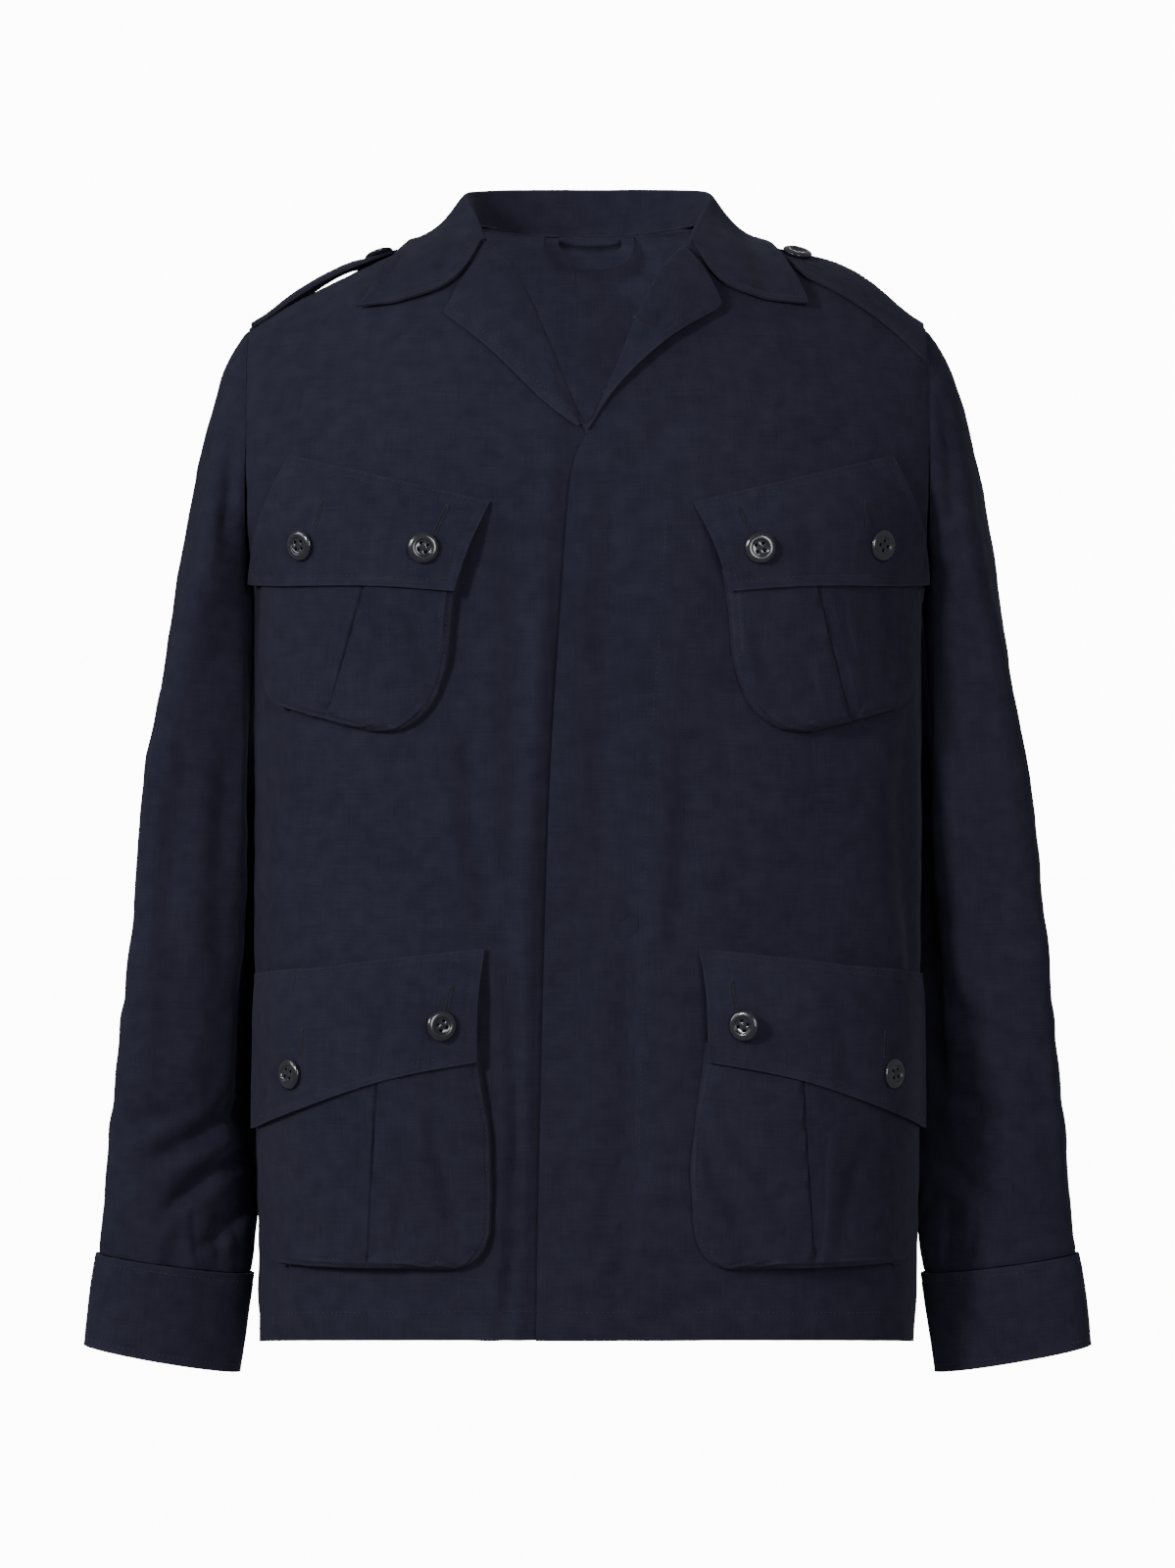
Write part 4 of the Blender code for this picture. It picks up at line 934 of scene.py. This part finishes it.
def sew_piece(spec):
    """One cut piece: the solid's outer wall, laid flat for its weave, refined, creased and thickened."""
    piece = copy_of(spec.node)
    bag = spec.node in PLEATS
    folds = np.array(keep_outer_wall(piece, BAG_CRISP if bag else 0.0))
    if bag:
        off, along, reach = beside_pleat(spec.node, folds)
        fold_points[spec.node] = folds[(np.abs(off) > FOLD_CLEAR) | (along > reach + FOLD_PAST)]
    if spec.node.startswith("sleeve"):
        fill_sleeve(piece, spec.node)
    if spec.node == "epaulette_right":
        lift_strap(piece)
    if spec.node.startswith(("front", "lapel")):
        lower_neck(piece)
    if spec.node == "lapel_left":
        narrow_lapel(piece)
    if spec.node == "collar":
        tuck_collar(piece)
    width, length, area = lay_flat(piece, spec.node.startswith(("sleeve", "cuff")))
    apply_modifier(piece, "refined", "SUBSURF", levels=spec.levels, render_levels=spec.levels,
                   boundary_smooth="PRESERVE_CORNERS")
    shape_cloth(piece, spec.node)
    points, normals, triangles, edge_points = mesh_arrays(piece.data)
    tree = BVHTree.FromPolygons(points.tolist(), triangles.tolist())
    surfaces[spec.node] = Surface(points, normals, triangles, edge_points, tree)
    apply_modifier(piece, "wall", "SOLIDIFY", thickness=spec.wall * MM, offset=-1)
    piece.data.materials.append(material_named("navy cloth", cloth_material))
    bpy.ops.object.shade_smooth_by_angle(angle=CLOTH_SMOOTH)
    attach(piece, "root")
    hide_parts(spec.node)
    list(spec.rests_on)


# Sewing
def join_mesh(name, points, faces, material):
    """One object of many loose closed shapes, each facing out."""
    mesh = bpy.data.meshes.new(name)
    mesh.from_pydata(points, [], faces)
    mesh.materials.append(material)
    piece = add_object(name, mesh)
    take_up(piece)
    bpy.ops.object.mode_set(mode="EDIT")
    bpy.ops.mesh.select_all(action="SELECT")
    bpy.ops.mesh.normals_make_consistent(inside=False)
    bpy.ops.object.mode_set(mode="OBJECT")
    bpy.ops.object.shade_smooth()
    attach(piece, "root")


STITCH_FACES = ((0, 1, 2), (0, 2, 3), (1, 4, 5, 2), (2, 5, 6, 3), (7, 5, 4), (7, 6, 5),
                (0, 3, 1), (1, 3, 6, 4), (7, 4, 6))


class Threads:
    """Short lengths of thread, gathered to be made as one mesh."""

    def __init__(self, breadth):
        self.breadth, self.points, self.faces = breadth, [], []

    def lay(self, start, end, normal, high=STITCH_HIGH):
        """One stitch: pinched at its ends, where it goes into the cloth."""
        way = end - start
        side = normal.cross(way).normalized() * self.breadth / 2
        top = normal * self.breadth * high
        sunk = normal * self.breadth * STITCH_SUNK
        first = len(self.points)
        near, far = start + way * STITCH_PINCH, start + way * (1 - STITCH_PINCH)
        self.points += [start + sunk, near - side, near + top, near + side,
                        far - side, far + top, far + side, end + sunk]
        self.faces += [[first + k for k in face] for face in STITCH_FACES]

    def make(self, name):
        join_mesh(name, self.points, self.faces, material_named("sewing thread", thread_material))


def level_lines(surface, field, level):
    """Lines on a surface where a field has a value, each a list of (place, normal)."""
    below = field < level
    count = below[surface.triangles].sum(1)
    links = {}
    for triangle in surface.triangles[(count == 1) | (count == 2)]:
        crossed = []
        for a, b in zip(triangle, np.roll(triangle, -1)):
            if below[a] != below[b]:
                crossed.append((min(a, b), max(a, b)))
        links.setdefault(crossed[0], []).append(crossed[1])
        links.setdefault(crossed[1], []).append(crossed[0])

    def spot(key):
        a, b = key
        t = (level - field[a]) / (field[b] - field[a])
        return (Vector(surface.points[a] * (1 - t) + surface.points[b] * t),
                Vector(surface.normals[a] * (1 - t) + surface.normals[b] * t).normalized())

    lines, left = [], set(links)
    while left:
        ends = [key for key in left if len(links[key]) == 1]
        here = min(ends) if ends else min(left)
        line = []
        while here is not None:
            left.discard(here)
            line.append(spot(here))
            here = next((key for key in links[here] if key in left), None)
        if not ends and len(line) > 2:
            line.append(line[0])
        lines.append(line)
    return lines


def stitch_line(threads, line, stitch, gap):
    """Stitches at an even pitch along a line of (place, normal)."""
    places = np.array([tuple(p) for p, _ in line])
    run = np.concatenate(([0], np.cumsum(np.linalg.norm(np.diff(places, axis=0), axis=1))))
    at = gap / 2
    while at + stitch < run[-1]:
        ends = []
        for s in (at, at + stitch):
            k = min(max(int(np.searchsorted(run, s)), 1), len(run) - 1)
            t = (s - run[k - 1]) / max(run[k] - run[k - 1], 1e-9)
            ends.append((line[k - 1][0].lerp(line[k][0], t), line[k][1]))
        threads.lay(ends[0][0], ends[1][0], (ends[0][1] + ends[1][1]).normalized())
        at += stitch + gap


def stitch_row(threads, node, row):
    sewing = bpy.context.scene.jacket_sewing
    surface = surfaces[node]
    field = row_distance(node, row, surface.points, surface.edge_points)
    for line in level_lines(surface, field, row.inset):
        kept = [(p, n) for p, n in line if row.low < p.z / MM < row.high]
        if row.edge == "fold":
            kept = [(p, n) for p, n in kept if n.y < FOLD_FACING]
        run = sum((b[0] - a[0]).length for a, b in zip(kept, kept[1:]))
        if run > SHORTEST_ROW * MM:
            stitch_line(threads, kept, sewing.stitch, sewing.gap)


def photo_ray(x, y):
    """From the camera through a pixel of the photograph."""
    way = Vector(((x - IMAGE_WIDTH / 2) / FOCAL_PIXELS, 1, (IMAGE_HEIGHT / 2 - y) / FOCAL_PIXELS))
    return Vector((0, -CAMERA_DISTANCE, CAMERA_HEIGHT)), way.normalized()


def buttonhole(threads, slit):
    """A worked buttonhole: thread bars on both lips of a slit, and bars across its far end."""
    tree = surfaces[slit.piece].tree
    spots = []
    for k in range(PROBES):
        t = k / (PROBES - 1)
        place, normal, _, _ = tree.ray_cast(*photo_ray(slit.x0 + (slit.x1 - slit.x0) * t,
                                                       slit.y0 + (slit.y1 - slit.y0) * t))
        if place is not None:
            spots.append((place, -normal if normal.y > 0 else normal))
    if len(spots) < LEAST_PROBES:
        raise RuntimeError(f"the buttonhole on {slit.piece} misses the cloth")
    length = (spots[-1][0] - spots[0][0]).length
    steps = max(int(length / BAR_PITCH), LEAST_BARS)
    for k in range(steps + 1):
        t = k / steps * (len(spots) - 1)
        i = min(int(t), len(spots) - 2)
        place = spots[i][0].lerp(spots[i + 1][0], t - i)
        normal = spots[i][1]
        side = normal.cross(spots[i + 1][0] - spots[i][0]).normalized()
        for way in (-1, 1):
            threads.lay(place + side * way * BAR_START, place + side * way * BAR_END, normal, BAR_HIGH)
    way = (spots[1][0] - spots[0][0]).normalized()
    side = spots[0][1].cross(way)
    for k in range(END_BARS):
        start = spots[0][0] - way * (END_START + END_PITCH * k)
        threads.lay(start - side * END_HALF, start + side * END_HALF, spots[0][1], END_HIGH)


# Buttons
def pick_faces(piece, way):
    """In edit mode, selects just the faces that face up (1) or down (-1)."""
    bpy.ops.mesh.select_mode(type="FACE")
    bm = bmesh.from_edit_mesh(piece.data)
    for face in bm.faces:
        face.select_set(face.normal.z * way > 0.9)
    bm.select_flush_mode()
    bmesh.update_edit_mesh(piece.data)


def turn_button():
    """The button, standing on the origin: dished, with a rounded rim and holes for the thread."""
    button = bpy.context.scene.jacket_button
    bpy.ops.object.select_all(action="DESELECT")
    bpy.ops.mesh.primitive_cylinder_add(vertices=64, radius=button.radius, depth=BUTTON_HEIGHT * MM,
                                        location=(0, 0, BUTTON_HEIGHT / 2 * MM))
    piece = bpy.context.active_object
    bpy.ops.object.transform_apply(location=True, rotation=False, scale=False)
    bpy.ops.object.mode_set(mode="EDIT")
    pick_faces(piece, -1)
    foot = BUTTON_FOOT * MM / button.radius
    bpy.ops.transform.resize(value=(foot, foot, 1))
    pick_faces(piece, 1)
    for inset, lift in BUTTON_STEPS:
        bpy.ops.mesh.inset(thickness=inset * MM)
        bpy.ops.transform.translate(value=(0, 0, lift * MM))
    bpy.ops.object.mode_set(mode="OBJECT")
    bpy.ops.object.select_all(action="DESELECT")
    cutters = []
    for x in (-1, 1):
        for y in (-1, 1):
            bpy.ops.mesh.primitive_cylinder_add(
                vertices=20, radius=HOLE_RADIUS * MM, depth=HOLE_DEPTH * MM,
                location=(x * HOLE_SPREAD * MM, y * HOLE_SPREAD * MM, 0))
            cutters.append(bpy.context.active_object)
    for cutter in cutters:
        cutter.select_set(True)
    bpy.ops.object.join()
    cutter = bpy.context.active_object
    apply_modifier(piece, "holes", "BOOLEAN", operation="DIFFERENCE", object=cutter, solver="EXACT")
    bpy.data.objects.remove(cutter, do_unlink=True)
    apply_modifier(piece, "rounded", "BEVEL", width=BUTTON_ROUNDING * MM, segments=2,
                   limit_method="ANGLE", angle_limit=BUTTON_EDGE)
    bpy.ops.object.shade_smooth_by_angle(angle=BUTTON_SMOOTH)
    return piece


def button_seat(node, turn):
    """The place and turn of a packed button: its foot's middle, and its axis away from the cloth."""
    points = np.array([v.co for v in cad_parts[node].data.vertices])
    middle = points.mean(0)
    axis = np.linalg.svd(points - middle, full_matrices=False)[2][2]
    outward = axis[2] if node.startswith("epaulette") else -axis[1]
    axis = axis * math.copysign(1, outward)
    reach = (points - middle) @ axis
    centre = (points.max(0) + points.min(0)) / 2
    foot = Vector(centre + axis * (reach.min() - (centre - middle) @ axis))
    facing = Vector(axis).to_track_quat("Z", "Y").to_matrix().to_4x4()
    return Matrix.Translation(foot) @ facing @ Matrix.Rotation(math.radians(turn), 4, "Z")


class JacketOperator:
    bl_options = {"REGISTER", "UNDO"}


class SewingOperator(JacketOperator):
    """Sews every piece of its group."""

    def execute(self, context):
        for spec in self.group:
            sew_piece(spec)
        return {"FINISHED"}


class JACKET_OT_panels(SewingOperator, bpy.types.Operator):
    """Sews the back and the two fronts"""
    bl_idname = "jacket.panels"
    bl_label = "Back and fronts"
    group = PANELS


class JACKET_OT_sleeves(SewingOperator, bpy.types.Operator):
    """Sews the sleeves and their cuffs"""
    bl_idname = "jacket.sleeves"
    bl_label = "Sleeves and cuffs"
    group = SLEEVES


class JACKET_OT_collar(SewingOperator, bpy.types.Operator):
    """Sews the collar and the lapels"""
    bl_idname = "jacket.collar"
    bl_label = "Collar and lapels"
    group = COLLAR


class JACKET_OT_pockets(SewingOperator, bpy.types.Operator):
    """Sews the pleated pocket bags and their flaps"""
    bl_idname = "jacket.pockets"
    bl_label = "Pockets and flaps"
    group = POCKETS


class JACKET_OT_straps(SewingOperator, bpy.types.Operator):
    """Sews the shoulder straps and the hanger loop"""
    bl_idname = "jacket.straps"
    bl_label = "Straps and loop"
    group = STRAPS


class JACKET_OT_stitches(JacketOperator, bpy.types.Operator):
    """Runs the rows of stitches along edges, hem and fly"""
    bl_idname = "jacket.stitches"
    bl_label = "Rows of stitches"

    def execute(self, context):
        threads = Threads(context.scene.jacket_sewing.thread)
        for row in ROWS:
            for node in row.pieces.split():
                stitch_row(threads, node, row)
        threads.make("stitches")
        return {"FINISHED"}


class JACKET_OT_buttonholes(JacketOperator, bpy.types.Operator):
    """Works the buttonholes of the flaps, lapel and strap"""
    bl_idname = "jacket.buttonholes"
    bl_label = "Buttonholes"

    def execute(self, context):
        threads = Threads(context.scene.jacket_sewing.thread * HOLE_THREAD)
        for slit in BUTTONHOLES:
            buttonhole(threads, slit)
        threads.make("buttonholes")
        return {"FINISHED"}


class JACKET_OT_buttons(JacketOperator, bpy.types.Operator):
    """Turns one button and sews a copy of it to every place"""
    bl_idname = "jacket.buttons"
    bl_label = "Buttons"

    def execute(self, context):
        pattern = turn_button()
        pattern.data.materials.append(material_named("dark button", button_material))
        threads = Threads(BUTTON_THREAD)
        for node, turn in BUTTONS.items():
            seat = button_seat(node, turn)
            piece = add_object(node + "_turned", pattern.data.copy())
            piece.data.transform(seat)
            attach(piece, "root")
            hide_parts(node)
            holes = [seat @ Vector((x * HOLE_SPREAD * MM, y * HOLE_SPREAD * MM, THREAD_HEIGHT * MM))
                     for x, y in ((-1, -1), (1, 1), (-1, 1), (1, -1))]
            normal = (seat.to_3x3() @ Vector((0, 0, 1))).normalized()
            for start, end in ((0, 1), (2, 3)):
                for shift in (-THREAD_OFF, THREAD_OFF):
                    side = (holes[end] - holes[start]).cross(normal).normalized() * shift
                    threads.lay(holes[start] + side, holes[end] + side, normal)
        bpy.data.objects.remove(pattern, do_unlink=True)
        threads.make("button_threads")
        return {"FINISHED"}


def soft_light(name, power, size, place, aim):
    data = bpy.data.lights.new(name, "AREA")
    data.energy, data.shape, data.size, data.size_y = power, "RECTANGLE", *size
    light = add_object(name, data)
    light.location, light.visible_camera = place, False
    light.rotation_euler = (Vector(aim) - Vector(place)).to_track_quat("-Z", "Y").to_euler()


class JACKET_OT_studio(JacketOperator, bpy.types.Operator):
    """Sets the pale floor, the soft lights and the camera"""
    bl_idname = "jacket.studio"
    bl_label = "Studio"

    def execute(self, context):
        studio = context.scene.jacket_studio
        bpy.ops.object.select_all(action="DESELECT")
        bpy.ops.mesh.primitive_circle_add(vertices=FLOOR_SIDES, radius=FLOOR_RADIUS, fill_type="NGON",
                                          location=(0, 0, -studio.floor_drop))
        floor = context.active_object
        floor.name = "floor"
        bpy.ops.object.transform_apply(location=True, rotation=False, scale=False)
        floor.data.materials.append(material_named("pale floor", floor_material))
        floor.visible_diffuse = floor.visible_glossy = False
        world = bpy.data.worlds.new("white surround")
        world.use_nodes = True
        tree = world.node_tree
        surround = tree.nodes["Background"]
        surround.inputs["Color"].default_value = (1, 1, 1, 1)
        seen = Shade(tree, tree.nodes.new("ShaderNodeLightPath").outputs["Is Camera Ray"])
        strength = seen * (studio.backdrop - studio.ambient) + studio.ambient
        tree.links.new(strength.socket, surround.inputs["Strength"])
        context.scene.world = world
        for name, (size, place, aim) in LIGHTS.items():
            soft_light(f"{name} light", getattr(studio, name), size, place, aim)
        data = bpy.data.cameras.new("camera")
        data.lens = data.sensor_width * FOCAL_PIXELS / IMAGE_HEIGHT
        data.clip_start, data.clip_end = 0.05, 200
        camera = add_object("camera", data)
        camera.location = (0, -CAMERA_DISTANCE, CAMERA_HEIGHT)
        camera.rotation_euler = (math.pi / 2, 0, 0)
        context.scene.camera = camera
        return {"FINISHED"}


OPERATORS = (JACKET_OT_panels, JACKET_OT_sleeves, JACKET_OT_collar, JACKET_OT_pockets, JACKET_OT_straps,
             JACKET_OT_stitches, JACKET_OT_buttonholes, JACKET_OT_buttons, JACKET_OT_studio)
SETTINGS = {
    "jacket_cloth": ClothSettings, "jacket_sewing": SewingSettings,
    "jacket_button": ButtonSettings, "jacket_studio": StudioSettings,
}


class JACKET_PT_sidebar(bpy.types.Panel):
    """Lists the jacket's pieces and their settings"""
    bl_idname = "JACKET_PT_sidebar"
    bl_label = "Jungle jacket"
    bl_space_type = "VIEW_3D"
    bl_region_type = "UI"
    bl_category = "Jacket"

    def draw(self, context):
        for operator in OPERATORS:
            self.layout.operator(operator.bl_idname)
        for name in SETTINGS:
            group = getattr(context.scene, name)
            for setting in group.__annotations__:
                self.layout.prop(group, setting)


CLASSES = (*SETTINGS.values(), *OPERATORS, JACKET_PT_sidebar)


def register():
    for each in CLASSES:
        bpy.utils.register_class(each)
    for name, group in SETTINGS.items():
        setattr(bpy.types.Scene, name, PointerProperty(type=group))


def unregister():
    for name in SETTINGS:
        delattr(bpy.types.Scene, name)
    for each in reversed(CLASSES):
        bpy.utils.unregister_class(each)


def main():
    register()
    bpy.ops.jacket.panels()
    bpy.ops.jacket.sleeves()
    bpy.ops.jacket.collar()
    bpy.ops.jacket.pockets()
    bpy.ops.jacket.straps()
    bpy.ops.jacket.stitches()
    bpy.ops.jacket.buttonholes()
    bpy.ops.jacket.buttons()
    bpy.ops.jacket.studio()
    bpy.context.view_layer.update()


if __name__ == "__main__":
    main()
